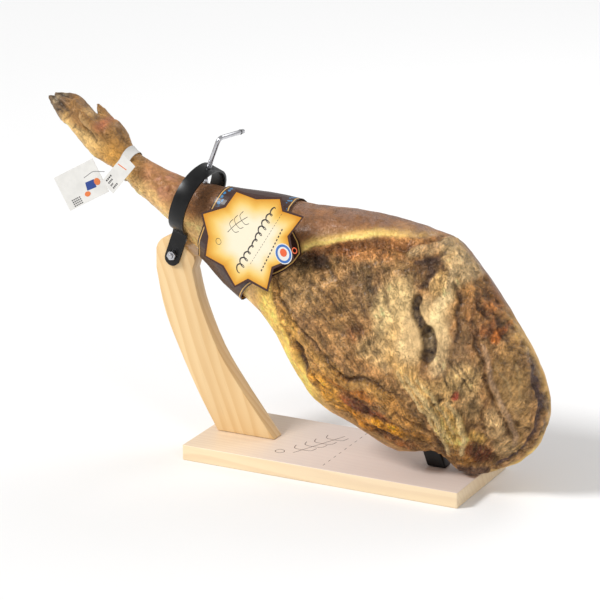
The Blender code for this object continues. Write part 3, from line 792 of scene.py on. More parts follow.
# Patches of colour on the flesh face: centre (x, z), radii, turn in degrees, colour, strength.
FLESH_PATCHES = [
    ((0.040, 0.292), (0.085, 0.012), 6, (172, 116, 66), 0.75),
    ((0.020, 0.288), (0.014, 0.008), 10, (170, 104, 54), 0.6),
    # Painted shadow: the dark patch in the hollow beside the cards.
    ((-0.024, 0.270), (0.026, 0.012), 15, (62, 38, 22), 0.9),
    ((-0.036, 0.238), (0.030, 0.030), 0, (158, 126, 84), 0.7),
    ((0.012, 0.232), (0.034, 0.034), 0, (146, 112, 70), 0.6),
    ((0.046, 0.256), (0.022, 0.022), 0, (88, 66, 44), 0.8),
    ((0.058, 0.234), (0.020, 0.020), 0, (96, 74, 50), 0.75),
    ((0.018, 0.214), (0.026, 0.014), -20, (142, 104, 62), 0.6),
    ((0.020, 0.186), (0.034, 0.014), -30, (164, 122, 76), 0.6),
    ((0.042, 0.192), (0.012, 0.010), 0, (132, 80, 44), 0.6),
    ((0.090, 0.262), (0.020, 0.022), -20, (158, 126, 86), 0.7),
    ((0.090, 0.224), (0.024, 0.042), -10, (224, 194, 142), 0.95),
    ((0.102, 0.188), (0.028, 0.026), -25, (198, 162, 110), 0.9),
    ((0.070, 0.172), (0.026, 0.018), -30, (190, 158, 112), 0.8),
    ((0.108, 0.162), (0.026, 0.010), -20, (188, 148, 92), 0.8),
    ((0.120, 0.206), (0.018, 0.040), -18, (228, 196, 148), 0.85),
    ((0.148, 0.218), (0.013, 0.042), -6, (232, 204, 156), 1.0),
    ((0.152, 0.186), (0.012, 0.026), -6, (224, 192, 146), 0.9),
    ((0.121, 0.283), (0.020, 0.008), 12, (72, 50, 40), 0.8),
    ((0.128, 0.270), (0.010, 0.016), 15, (96, 70, 46), 0.75),
    ((0.100, 0.284), (0.020, 0.012), 12, (136, 98, 56), 0.6),
    ((0.150, 0.293), (0.018, 0.012), -35, (214, 180, 132), 0.9),
    ((0.156, 0.270), (0.012, 0.018), -10, (220, 186, 138), 0.9),
    ((0.142, 0.262), (0.010, 0.016), -10, (206, 168, 112), 0.8),
    ((0.180, 0.260), (0.010, 0.022), -40, (200, 154, 96), 0.6),
    ((0.172, 0.240), (0.016, 0.028), -30, (152, 108, 62), 0.9),
    ((0.188, 0.228), (0.018, 0.030), -40, (142, 98, 58), 0.85),
    ((0.188, 0.204), (0.018, 0.022), -30, (126, 88, 54), 0.85),
    ((0.172, 0.200), (0.008, 0.022), 0, (112, 84, 54), 0.8),
    ((0.201, 0.214), (0.008, 0.012), -20, (150, 88, 44), 0.7),
    ((0.210, 0.204), (0.0055, 0.009), -20, (200, 112, 44), 0.95),
    ((0.196, 0.236), (0.008, 0.010), -30, (172, 108, 54), 0.6),
    ((0.172, 0.178), (0.014, 0.014), 0, (124, 96, 66), 0.75),
    ((0.178, 0.150), (0.020, 0.022), -40, (204, 170, 118), 0.8),
    ((0.226, 0.186), (0.010, 0.022), -25, (170, 130, 78), 0.7),
    ((0.222, 0.160), (0.016, 0.026), -20, (146, 112, 68), 0.8),
    ((0.234, 0.138), (0.016, 0.028), -15, (152, 120, 74), 0.75),
    ((0.245, 0.112), (0.010, 0.028), -5, (158, 124, 80), 0.7),
    ((0.150, 0.132), (0.024, 0.020), 0, (196, 158, 102), 0.75),
    ((0.122, 0.146), (0.028, 0.013), -30, (212, 170, 108), 0.8),
    ((0.062, 0.152), (0.032, 0.010), -20, (150, 108, 64), 0.7),
    ((0.014, 0.140), (0.030, 0.012), -38, (200, 148, 76), 0.8),
    ((0.040, 0.126), (0.036, 0.010), -22, (154, 90, 14), 0.85),
    ((0.084, 0.122), (0.026, 0.010), -18, (188, 134, 66), 0.8),
    ((0.010, 0.116), (0.034, 0.012), -40, (214, 152, 50), 0.9),
    ((0.044, 0.106), (0.024, 0.008), -24, (110, 44, 2), 0.95),
    ((0.072, 0.097), (0.026, 0.007), -18, (108, 48, 4), 0.9),
    ((0.106, 0.098), (0.026, 0.012), -30, (174, 124, 60), 0.8),
    ((0.088, 0.081), (0.026, 0.008), -18, (222, 148, 0), 0.95),
    ((0.048, 0.088), (0.030, 0.008), -28, (190, 122, 14), 0.85),
    ((0.124, 0.072), (0.020, 0.008), -22, (170, 118, 52), 0.85),
    ((0.092, 0.066), (0.030, 0.006), -18, (112, 58, 8), 0.85),
    ((0.146, 0.060), (0.010, 0.016), 0, (110, 78, 46), 0.7),
    ((0.163, 0.088), (0.013, 0.034), 22, (242, 196, 108), 0.95),
    ((0.176, 0.078), (0.007, 0.028), 5, (255, 206, 128), 0.95),
    ((0.190, 0.118), (0.014, 0.016), 0, (182, 148, 104), 0.8),
    ((0.214, 0.098), (0.014, 0.022), 0, (206, 170, 124), 0.85),
    ((0.150, 0.112), (0.014, 0.022), 30, (208, 166, 104), 0.85),
    ((0.195, 0.077), (0.010, 0.008), 0, (190, 150, 76), 0.85),
    ((0.190, 0.056), (0.024, 0.014), 0, (86, 34, 2), 0.95),
    ((0.172, 0.046), (0.016, 0.010), 0, (150, 104, 46), 0.8),
    ((0.226, 0.066), (0.014, 0.012), 30, (186, 154, 112), 0.85),
    ((0.238, 0.078), (0.008, 0.014), 30, (126, 98, 56), 0.7),
    ((0.174, 0.132), (0.0045, 0.0045), 0, (130, 44, 30), 1.0),
    ((-0.038, 0.160), (0.012, 0.024), 25, (204, 150, 76), 0.85),
    ((-0.048, 0.190), (0.010, 0.024), 30, (206, 156, 78), 0.85),
    ((-0.064, 0.222), (0.010, 0.024), 20, (178, 132, 72), 0.7),
]

# The flesh's colours are warmed by this much.
FLESH_TINT = (1.06, 1.0, 0.86)

# The middle of the leg from the toes to the thick end, as (x, z).
SHANK_AXIS = [
    (-0.405, 0.422), (-0.375, 0.405), (-0.335, 0.380), (-0.300, 0.352), (-0.265, 0.330), (-0.225, 0.308),
    (-0.170, 0.290), (-0.120, 0.270), (-0.060, 0.245), (0.050, 0.200), (0.150, 0.160),
]

# From where to where along X the card sleeve covers the leg.
SLEEVE_REACH = (-0.215, -0.075)

# Root and tip of a dew claw, and the tip of a toe, on the far side.
DEW_CLAWS = ((-0.3215, 0.0150, 0.3800), (-0.3525, 0.0220, 0.4125))
TOE_TIP = (-0.4020, 0.0085, 0.4235)


def step(low, high, value):
    """A smooth step from 0 at low to 1 at high, on arrays."""
    share = np.clip((value - low) / (high - low), 0.0, 1.0)
    return share * share * (3 - 2 * share)


def hump(value, width):
    """1 at zero, falling off smoothly over the width."""
    return np.exp(-((value / width) ** 2))


def path_distance(x, z, path):
    """Distance of each point to a path, how far along the path it lies, and on which side."""
    best = np.full(len(x), 1e9)
    along = np.zeros(len(x))
    side = np.ones(len(x))
    count = len(path) - 1
    for i, ((ax, az), (bx, bz)) in enumerate(zip(path, path[1:])):
        dx, dz = bx - ax, bz - az
        share = np.clip(((x - ax) * dx + (z - az) * dz) / (dx * dx + dz * dz), 0.0, 1.0)
        gap = np.hypot(x - ax - share * dx, z - az - share * dz)
        near = gap < best
        best = np.where(near, gap, best)
        along = np.where(near, (i + share) / count, along)
        side = np.where(near, np.sign(dx * (z - az) - dz * (x - ax)), side)
    return best, along, side


def inside_distance(x, z, outline):
    """Distance to a closed outline, positive inside it."""
    gap, _, _ = path_distance(x, z, outline + outline[:1])
    inside = np.zeros(len(x), bool)
    for (ax, az), (bx, bz) in zip(outline, outline[1:] + outline[:1]):
        spans = (az > z) != (bz > z)
        crossing = ax + (z - az) * (bx - ax) / (bz - az if bz != az else 1e-9)
        inside ^= spans & (x < crossing)
    return np.where(inside, gap, -gap)


def fractal(points, scale, octaves=4, seed=0.0, rough=1.0):
    """Fractal noise at each point, about -1 to 1."""
    offset = Vector((seed * 7.31, seed * 3.17, seed * 5.93))
    places = (Vector(point) * scale + offset for point in points.tolist())
    return np.array([noise.fractal(place, rough, 2.0, octaves) for place in places])


def mesh_points(mesh):
    points = np.empty(len(mesh.vertices) * 3)
    mesh.vertices.foreach_get("co", points)
    return points.reshape(-1, 3)


def mesh_normals(mesh):
    normals = np.empty(len(mesh.vertices) * 3)
    mesh.vertices.foreach_get("normal", normals)
    return normals.reshape(-1, 3)


def move_points(mesh, points):
    mesh.vertices.foreach_set("co", points.ravel())
    mesh.update()


def store_colour(mesh, name, colours):
    layer = mesh.attributes.new(name, "FLOAT_COLOR", "POINT")
    full = np.concatenate([colours, np.ones((len(colours), 1))], axis=1)
    layer.data.foreach_set("color", full.astype(np.float32).ravel())


def store_vector(mesh, name, vectors):
    layer = mesh.attributes.new(name, "FLOAT_VECTOR", "POINT")
    layer.data.foreach_set("vector", vectors.astype(np.float32).ravel())


def store_value(mesh, name, values):
    layer = mesh.attributes.new(name, "FLOAT", "POINT")
    layer.data.foreach_set("value", values.astype(np.float32))


def blended(colours, other, share):
    """Colours moved towards another colour by a share for each point."""
    share = np.clip(share, 0.0, 1.0)[:, None]
    return colours * (1 - share) + np.array(other) * share


class HamSurface:
    """The fields that shape and colour the ham, worked out once for all its points."""

    def __init__(self, points, normals):
        self.points = points
        self.normals = normals
        self.x, self.y, self.z = points.T
        self.warp_x = self.x + 0.0040 * fractal(points, 44.0, 3, 1.0)
        self.warp_z = self.z + 0.0040 * fractal(points, 44.0, 3, 2.0)
        self.broad = fractal(points, 26.0, 3, 3.0)
        self.middle = fractal(points, 75.0, 4, 4.0)
        self.fine = fractal(points, 210.0, 3, 5.0)
        warped_x = self.x + 0.3 * (self.warp_x - self.x)
        warped_z = self.z + 0.3 * (self.warp_z - self.z)
        edge = inside_distance(warped_x, warped_z, FLESH_EDGE)
        self.front = step(0.30, -0.10, normals[:, 1] + 0.15 * self.middle)
        self.front *= step(0.036, 0.014, self.y + 0.008 * self.broad + 0.004 * self.middle)
        self.edge = np.where(self.front > 0, edge, -0.05)
        self.flesh = self.front * step(-0.001, 0.002, edge)
        gap, _, side = path_distance(self.x, self.z, SHANK_AXIS)
        self.shank_side = gap * side
        self.shank = step(-0.085, -0.115, self.x)
        self.foot = step(-0.262, -0.275, self.x + 0.2 * (self.z - 0.34))
        self.fibre = self.fibres()
        flow = self.fibre * np.array([26.0, 300.0, 60.0])
        self.strand = fractal(flow, 1.0, 3, 7.0)
        folding = np.abs(fractal(points * np.array([1.0, 1.0, 0.75]), 62.0, 3, 9.0))
        self.fold = 1 - np.clip(folding * 2.6, 0.0, 1.0)
        self.wrinkle = hump(fractal(flow * np.array([1.0, 0.5, 1.0]), 1.0, 3, 8.0), 0.13)

    def fibres(self):
        """Places along and across the meat's fibres, which fan out from the foot of the face."""
        dx, dz = self.warp_x - 0.165, self.warp_z - 0.010
        turn = np.arctan2(dz, dx)
        return np.stack([np.hypot(dx, dz), turn * 0.14, self.y], axis=1)

    def strokes(self, marks, names=None):
        """The depth that a set of marks adds up to at each point, and how strongly they show."""
        depth = np.zeros(len(self.x))
        ink = np.zeros(len(self.x))
        for name, path, half, deep, soft in marks:
            if names and name not in names:
                continue
            wander = 0.10 if half > 0.003 else 0.35
            at_x = self.x + wander * (self.warp_x - self.x)
            at_z = self.z + wander * (self.warp_z - self.z)
            gap, along, _ = path_distance(at_x, at_z, path)
            taper = 0.35 + 0.65 * np.sin(pi * np.clip(along, 0.02, 0.98)) if half < 0.003 else 1.0
            strength = step(1.0, 0.0, (gap - half * taper) / soft) * self.front
            depth += strength * deep * (taper if half < 0.003 else 1.0)
            ink = np.maximum(ink, strength)
        return depth, ink

    def smoothness(self):
        """Where cured fat lies smooth: round the slot and on the right of the face."""
        round_slot = hump(np.hypot(self.x - 0.132, self.z - 0.206), 0.044)
        right = 0.6 * hump(np.hypot(self.x - 0.232, (self.z - 0.145) / 1.4), 0.026)
        return np.clip(round_slot + right, 0.0, 1.0)

    def height(self, finish):
        """How far each point is moved along its normal."""
        rough = 1 - 0.85 * self.smoothness()
        grain = 0.55 * self.middle + 0.40 * self.fine + 0.14 * self.strand
        lift = self.flesh * rough * (finish.lump_depth * self.broad + finish.crust_depth * grain)
        lift += self.flesh * rough * 0.0009 * self.wrinkle * step(-0.1, 0.3, self.broad)
        lift += self.flesh * rough * 0.0015 * (self.fold - 0.35)
        lift -= self.front * finish.rim_height * 0.7 * step(-0.001, 0.006, self.edge)
        lift += self.front * finish.rim_height * 0.4 * hump(self.edge + 0.0035, 0.0035)
        depth, _ = self.strokes(GROOVES)
        raised, _ = self.strokes(RIDGES)
        lift += raised - depth
        crease = np.abs(fractal(self.points * np.array([1.0, 0.5, 1.0]), 46.0, 3, 6.0))
        skin = 1 - self.flesh
        lift += skin * (0.0010 * self.broad + 0.0003 * self.middle - 0.0005 * step(0.06, 0.0, crease))
        lift += self.foot * (0.0008 * self.middle + 0.0004 * self.fine)
        return lift + 0.0022 * step(0.21, 0.25, self.x) * step(0.1, 0.8, self.normals[:, 0])

    def colour(self, finish):
        """The broad colour of each point."""
        flesh_colour = np.tile(np.array(tuple(finish.flesh)), (len(self.x), 1))
        for (cx, cz), (rx, rz), turn, shade, strength in FLESH_PATCHES:
            turn_cos, turn_sin = cos(radians(turn)), sin(radians(turn))
            dx, dz = self.warp_x - cx, self.warp_z - cz
            along = (dx * turn_cos + dz * turn_sin) / rx
            across = (dz * turn_cos - dx * turn_sin) / rz
            reach = along**2 + across**2
            flesh_colour = blended(flesh_colour, linear(*shade), strength * step(1.7, 0.3, reach))
        lively = 1 - 0.8 * self.smoothness()
        dark = step(0.05, -0.55, 0.9 * self.middle + 0.45 * self.strand + 0.25 * self.fine)
        pale = step(0.05, 0.60, 0.8 * self.middle + 0.50 * self.strand + 0.25 * self.fine)
        flesh_colour *= (1 - 0.58 * lively * dark)[:, None]
        flesh_colour *= (1 + 0.65 * lively * pale)[:, None]
        flesh_colour *= (1 + lively * (0.42 * self.fold - 0.18))[:, None]
        flesh_colour = blended(flesh_colour, linear(222, 182, 116), 0.12 * lively * self.wrinkle)
        light = 0.6 * flesh_colour[:, 0] + 0.4 * flesh_colour[:, 1]
        flesh_colour = flesh_colour * np.array(FLESH_TINT) * (1.55 / (1 + 0.6 * light))[:, None]
        skin = self.skin_colour(finish)
        colours = skin * (1 - self.flesh[:, None]) + flesh_colour * self.flesh[:, None]
        return self.mark_colour(colours)

    def skin_colour(self, finish):
        up = self.normals[:, 2]
        out = -self.edge
        body = 1 - self.shank
        colours = np.tile(np.array(tuple(finish.rind)), (len(self.x), 1))
        colours = blended(colours, linear(186, 136, 84), 0.7 * step(0.25, -0.5, up))
        colours = blended(colours, linear(196, 150, 84), 0.5 * step(0.0, -0.8, up) * body)
        back = step(-0.2, 0.5, self.normals[:, 1])
        colours = blended(colours, linear(184, 136, 84), 0.55 * back * step(0.5, 0.0, up))
        top = step(0.0, 0.5, up) * body
        browned = step(-0.5, 0.1, self.broad + 0.3 * self.strand)
        colours = blended(colours, linear(122, 82, 48), 0.80 * top * browned)
        near = self.front * step(0.24, 0.27, self.z)
        fading = 1 - 0.80 * step(0.04, 0.12, self.x)
        right_way = np.clip(self.x, 0.0, 0.12)
        wide_fat = step(0.016 - 0.06 * right_way, 0.003, out + 0.006 * self.broad)
        lip_fat = step(0.012 - 0.05 * right_way, 0.001, out)
        colours = blended(colours, linear(206, 154, 86), 0.65 * fading * near * wide_fat)
        colours = blended(colours, linear(255, 212, 118), 0.98 * fading * near * lip_fat)
        # Painted sheen: a grey-pink highlight on the upward-facing skin of the body.
        gloss = step(0.75, 0.98, up) * step(-0.35, 0.25, self.strand + self.broad) * body
        colours = blended(colours, linear(150, 122, 112), 0.30 * gloss)
        right = step(0.19, 0.23, self.x)
        outer_fat = right * step(0.040, 0.010, out) * self.front
        colours = blended(colours, linear(255, 226, 120), outer_fat)
        colours = blended(colours, linear(236, 186, 104), 0.75 * right * step(0.30, 0.20, self.z))
        left = step(0.02, -0.02, self.x) * step(0.27, 0.22, self.z) * self.front
        colours = blended(colours, linear(255, 206, 100), 0.88 * left)
        return self.leg_colour(colours, finish)

    def leg_colour(self, colours, finish):
        across = self.shank_side / 0.022
        low = step(0.45, -0.45, across + 0.5 * self.broad + 0.2 * self.middle)
        shank = self.shank * (1 - self.foot)
        colours = blended(colours, linear(178, 124, 74), 0.92 * shank)
        colours = blended(colours, linear(246, 198, 126), 0.90 * shank * low)
        # Painted shadow: the upper side of the shank darkened where the hoop shades it.
        hoop_shade = step(-0.23, -0.205, self.x) * step(0.0, 0.5, across)
        colours = blended(colours, linear(96, 62, 40), 0.7 * shank * hoop_shade)
        pink = hump(np.hypot(self.x + 0.240, self.z - 0.334), 0.020) * shank
        colours = blended(colours, linear(176, 122, 104), 0.6 * pink * step(0.0, 0.5, self.middle + 0.3))
        colours = blended(colours, linear(156, 114, 64), 0.95 * self.foot)
        colours = blended(colours, tuple(finish.hoof), 0.95 * self.foot * low)
        heel = hump(np.hypot(self.x + 0.312, self.z - 0.356), 0.022)
        colours = blended(colours, linear(222, 158, 62), 0.8 * heel * self.foot)
        rosy = hump(np.hypot(self.x + 0.325, self.z - 0.397), 0.007) * self.foot
        colours = blended(colours, linear(196, 112, 78), 0.7 * rosy)
        toe = step(-0.372, -0.388, self.x + 0.004 * self.middle)
        colours = blended(colours, linear(98, 78, 60), 0.85 * toe)
        horn = hump(np.hypot(self.x + 0.3925, self.z - 0.4225), 0.0045)
        colours = blended(colours, linear(208, 182, 140), 0.8 * horn)
        calm = 1 - 0.6 * step(0.1, 0.6, self.normals[:, 2]) * (1 - self.shank)
        shade = 1.12 + 0.20 * self.broad + calm * (0.30 * self.middle + 0.24 * self.fine)
        return colours * np.clip(shade, 0.45, 1.8)[:, None]

    def mark_colour(self, colours):
        shades = [
            # Painted shade: the deep slot and its bulb darkened to stand for the shade inside them.
            (("slot", "slot_bulb"), GROOVES, (50, 36, 31), 0.98),
            # Painted shadow in the hollow beside the cards.
            (("hollow",), GROOVES, (52, 32, 20), 0.85),
            # Painted shade in the cracks, slit, pocket and eyelet, and in the eye-shaped crevice below.
            (("crack_top", "crack_low", "slit", "pocket", "eyelet"), GROOVES, (62, 36, 20), 0.85),
            (("eye",), GROOVES, (54, 32, 24), 0.95),
            (("sinew_a", "sinew_b", "sinew_c"), GROOVES, (80, 66, 48), 0.75),
            (("lump_side", "seam_side", "fold_low"), GROOVES, (92, 56, 30), 0.70),
            (("amber_a", "amber_b", "amber_c", "amber_d"), GROOVES, (92, 56, 30), 0.70),
            (("band_a", "band_b", "band_c", "band_d"), GROOVES, (66, 46, 34), 0.80),
            (("scratch_a", "scratch_b"), GROOVES, (208, 176, 124), 0.45),
            (("streak_a", "streak_b", "streak_c", "streak_d", "streak_e"), GROOVES, (88, 60, 38), 0.60),
            (("edge_line",), GROOVES, (62, 44, 52), 0.95),
            # Band below the rind's lip: partly its own darker colour, partly painted shade under the lip.
            (("under_lip",), GROOVES, (112, 64, 30), 0.65),
            (("vee_top", "vee_side"), GROOVES, (66, 46, 42), 0.80),
            # Tendons: their pale colour is partly their own and partly painted highlight on the crests.
            (("tendon_a", "tendon_b", "tendon_c", "tendon_d", "tendon_e"), RIDGES, (244, 212, 148), 0.80),
            (("eye_lip", "eye_lid", "crack_lip"), RIDGES, (222, 166, 86), 0.65),
            (("corner", "corner_in", "brow"), RIDGES, (224, 190, 138), 0.60),
            (("seam_lip",), RIDGES, (190, 152, 118), 0.70),
            (("fold_roll",), RIDGES, (84, 58, 56), 0.85),
            (("dew_crease",), GROOVES, (84, 58, 30), 0.85),
            # Painted shade in the gap between the toes and its first fold.
            (("toe_gap", "toe_fold_a"), GROOVES, (48, 34, 28), 0.90),
            (("toe_fold_b", "toe_fold_c"), GROOVES, (96, 68, 42), 0.70),
            (("dew_claw",), RIDGES, (214, 172, 112), 0.70),
            (("shank_knob",), RIDGES, (150, 84, 60), 0.60),
        ]
        for names, marks, shade, strength in shades:
            _, ink = self.strokes(marks, names)
            colours = blended(colours, linear(*shade), strength * ink * (0.85 + 0.30 * self.fine))
        return np.clip(colours, 0.004, 0.95)

    def oiliness(self):
        """Where fat makes the surface shine: 0 dry, 1 oily."""
        oily = 0.60 + 0.45 * self.broad + 0.30 * self.middle
        amber = hump(path_distance(self.x, self.z, [(-0.03, 0.15), (0.02, 0.11), (0.12, 0.08)])[0], 0.030)
        oily = oily * (0.55 + 0.45 * self.flesh) + 0.10 * amber * self.front + 0.15 * self.foot
        oily += 0.40 * step(0.3, 0.8, self.normals[:, 2]) * (1 - self.flesh) * (1 - self.shank)
        return np.clip(oily, 0.0, 1.0)


def crease_group(name):
    """Crisp branching lines that follow a flow, and soft strands between them."""
    inputs = [("Flow", "Vector", None), ("Place", "Vector", None)]
    outputs = [("Lines", "Float"), ("Strands", "Float")]
    tree, net, given, out = new_group(name, inputs, outputs)
    long_lines = net.noise(net.mapping(given["Flow"], scale=(40.0, 300.0, 60.0)), 1.0, 5.0, 0.62, 1.2)
    branches = net.noise(given["Place"], 150.0, 5.0, 0.6, 0.8)
    first = net.ramp(net.math("ABSOLUTE", net.math("SUBTRACT", long_lines, 0.5)), 0.035, 0.0)
    second = net.ramp(net.math("ABSOLUTE", net.math("SUBTRACT", branches, 0.5)), 0.022, 0.0)
    here = net.ramp(net.noise(given["Place"], 42.0, 3.0), 0.42, 0.60)
    first = net.math("MULTIPLY", first, here)
    net.feed(out["Lines"], net.math("MAXIMUM", first, net.math("MULTIPLY", second, 0.7)))
    strands = net.noise(net.mapping(given["Flow"], scale=(50.0, 300.0, 90.0)), 1.0, 4.0, 0.6, 1.0)
    net.feed(out["Strands"], strands)
    return tree


def ham_material():
    """Dry crust, fat and rind: broad colour from the surface, fine detail from patterns."""
    material, net, shader = new_material("cured_ham_surface", Specular_IOR_Level=0.36, Coat_Roughness=0.22)
    place = net.place()
    broad = net.attribute("cured_colour")
    rough = net.attribute("rough_share", "Fac")
    oil = net.attribute("oily_share", "Fac")
    flow = net.attribute("fibre_place", "Vector")
    speckle = net.group(shared_group("speckle", speckle_group), Place=place, Scale=1.0)
    crease = net.group(shared_group("crease", crease_group), Flow=flow, Place=place)
    tone = net.ramp(speckle["Mottle"], 0.34, 0.66, 0.86, 1.14)
    tone = net.math("MULTIPLY", tone, net.ramp(crease["Strands"], 0.32, 0.68, 0.74, 1.28))
    # The darkening along the crease lines is painted shade in the creases.
    lined = net.math("SUBTRACT", 1.0, net.math("MULTIPLY", crease["Lines"], 0.42))
    tone = net.math("MULTIPLY", tone, lined)
    tone = net.math("ADD", 1.0, net.math("MULTIPLY", net.math("SUBTRACT", tone, 0.96), rough))
    shaded = net.add("VectorMath", {0: broad}, operation="SCALE")
    net.feed(shaded.inputs["Scale"], tone)
    pits = net.math("MULTIPLY", speckle["Pits"], net.math("MULTIPLY", rough, 0.50))
    colour = net.mix(pits, shaded.outputs[0], linear(66, 40, 22))
    flecks = net.math("MULTIPLY", speckle["Flecks"], net.math("MULTIPLY", rough, 0.35))
    colour = net.mix(flecks, colour, linear(246, 218, 166))
    net.feed(shader.inputs["Base Color"], colour)
    dry = net.math("SUBTRACT", 0.50, net.math("MULTIPLY", oil, 0.24))
    uneven = net.ramp(speckle["Mottle"], 0.3, 0.7, -0.10, 0.10)
    net.feed(shader.inputs["Roughness"], net.math("ADD", dry, uneven, clamp=True))
    net.feed(shader.inputs["Coat Weight"], net.math("MULTIPLY", oil, 0.18))
    relief = net.math("ADD", speckle["Mottle"], net.math("MULTIPLY", crease["Strands"], 1.1))
    relief = net.math("SUBTRACT", relief, net.math("MULTIPLY", crease["Lines"], 0.5))
    relief = net.math("SUBTRACT", relief, net.math("MULTIPLY", speckle["Pits"], 0.4))
    relief = net.math("MULTIPLY", relief, net.math("ADD", 0.15, net.math("MULTIPLY", rough, 0.85)))
    net.feed(shader.inputs["Normal"], net.bump(relief, 1.0, 0.0030))
    return material


class HAM_OT_ham(bpy.types.Operator):
    """Sculpts and colours the ham's flesh face, rind, shank and foot"""

    bl_idname = "ham.ham"
    bl_label = "Ham"

    def execute(self, context):
        finish = settings("ham_finish")
        ham = node_copy("ham", "cured_ham")
        self.add_claws(ham)
        self.refine(ham, finish)
        mesh = ham.data
        surface = HamSurface(mesh_points(mesh), mesh_normals(mesh))
        lift = surface.height(finish)
        under_card = step(SLEEVE_REACH[0] - 0.01, SLEEVE_REACH[0], surface.x)
        under_card *= step(SLEEVE_REACH[1] + 0.03, SLEEVE_REACH[1], surface.x)
        lift = np.minimum(lift, lift * (1 - under_card))
        moved = surface.points + surface.normals * lift[:, None]
        moved[:, 2] = np.maximum(moved[:, 2], BOARD_TOP + 0.0003)
        move_points(mesh, moved)
        store_colour(mesh, "cured_colour", surface.colour(finish))
        sleek = 0.22 * np.maximum(step(0.1, 0.6, surface.normals[:, 2]), surface.shank)
        bare = np.maximum(surface.flesh, 0.38 - sleek + 0.25 * surface.foot)
        bare *= 1 - 0.85 * surface.smoothness()
        store_value(mesh, "rough_share", bare)
        store_value(mesh, "oily_share", surface.oiliness())
        store_vector(mesh, "fibre_place", surface.fibre)
        finish_piece(ham, ham_material(), STAND)
        return {"FINISHED"}

    def add_claws(self, ham):
        """Stouter points for the dew claws and toes, so that they outlast the fine mesh."""
        points = []
        for side in (1, -1):
            turned = Vector((1, side, 1))
            points.append((Vector(DEW_CLAWS[0]) * turned, Vector(DEW_CLAWS[1]) * turned, 0.0104, 0.0016))
            tip = Vector(TOE_TIP) * turned
            points.append((tip + Vector((0.026, 0.0, -0.010)), tip, 0.0060, 0.0018))
        for root, tip, wide, narrow in points:
            deselect_all()
            along = tip - root
            bpy.ops.mesh.primitive_cone_add(vertices=20, radius1=wide, radius2=narrow, depth=along.length)
            cone = bpy.context.object
            turn = along.to_track_quat("Z", "Y").to_matrix().to_4x4()
            place_mesh(cone, Matrix.Translation((root + tip) / 2) @ turn)
            activate(ham)
            cone.select_set(True)
            bpy.ops.object.join()

    def refine(self, ham, finish):
        """One even fine mesh, its facets softened everywhere but on the foot."""
        remesh = ham.modifiers.new("fine_mesh", "REMESH")
        remesh.mode = "VOXEL"
        remesh.voxel_size = finish.voxel
        apply_modifiers(ham)
        points = mesh_points(ham.data)
        group = ham.vertex_groups.new(name="soft")
        weight = step(-0.335, -0.290, points[:, 0])
        for k in range(11):
            chosen = np.nonzero(np.round(weight * 10) == k)[0].tolist()
            if chosen:
                group.add(chosen, 0.12 + 0.088 * k, "REPLACE")
        soften = ham.modifiers.new("soft_facets", "SMOOTH")
        soften.factor = 0.6
        soften.iterations = 9
        soften.vertex_group = "soft"
        apply_modifiers(ham)
        ham.data.shade_smooth()


# ---------------------------------------------------------------- cards


def card_material(name, colour, rough=0.5, sheen=0.0):
    """Printed card with a faint paper tooth."""
    material, net, shader = new_material(name, Coat_Weight=sheen, Coat_Roughness=0.2)
    tooth = net.noise(net.place(), 1400.0, 3.0, 0.6)
    cloud = net.noise(net.place(), 60.0, 3.0, 0.5)
    darker = tuple(part * 0.86 for part in colour)
    clouded = net.mix(net.ramp(cloud, 0.35, 0.7, 0.0, 0.7), tuple(colour), darker)
    net.feed(shader.inputs["Base Color"], clouded)
    net.feed(shader.inputs["Roughness"], net.ramp(tooth, 0.3, 0.7, rough - 0.06, rough + 0.06))
    net.feed(shader.inputs["Normal"], net.bump(tooth, 0.08, 0.0002))
    return material


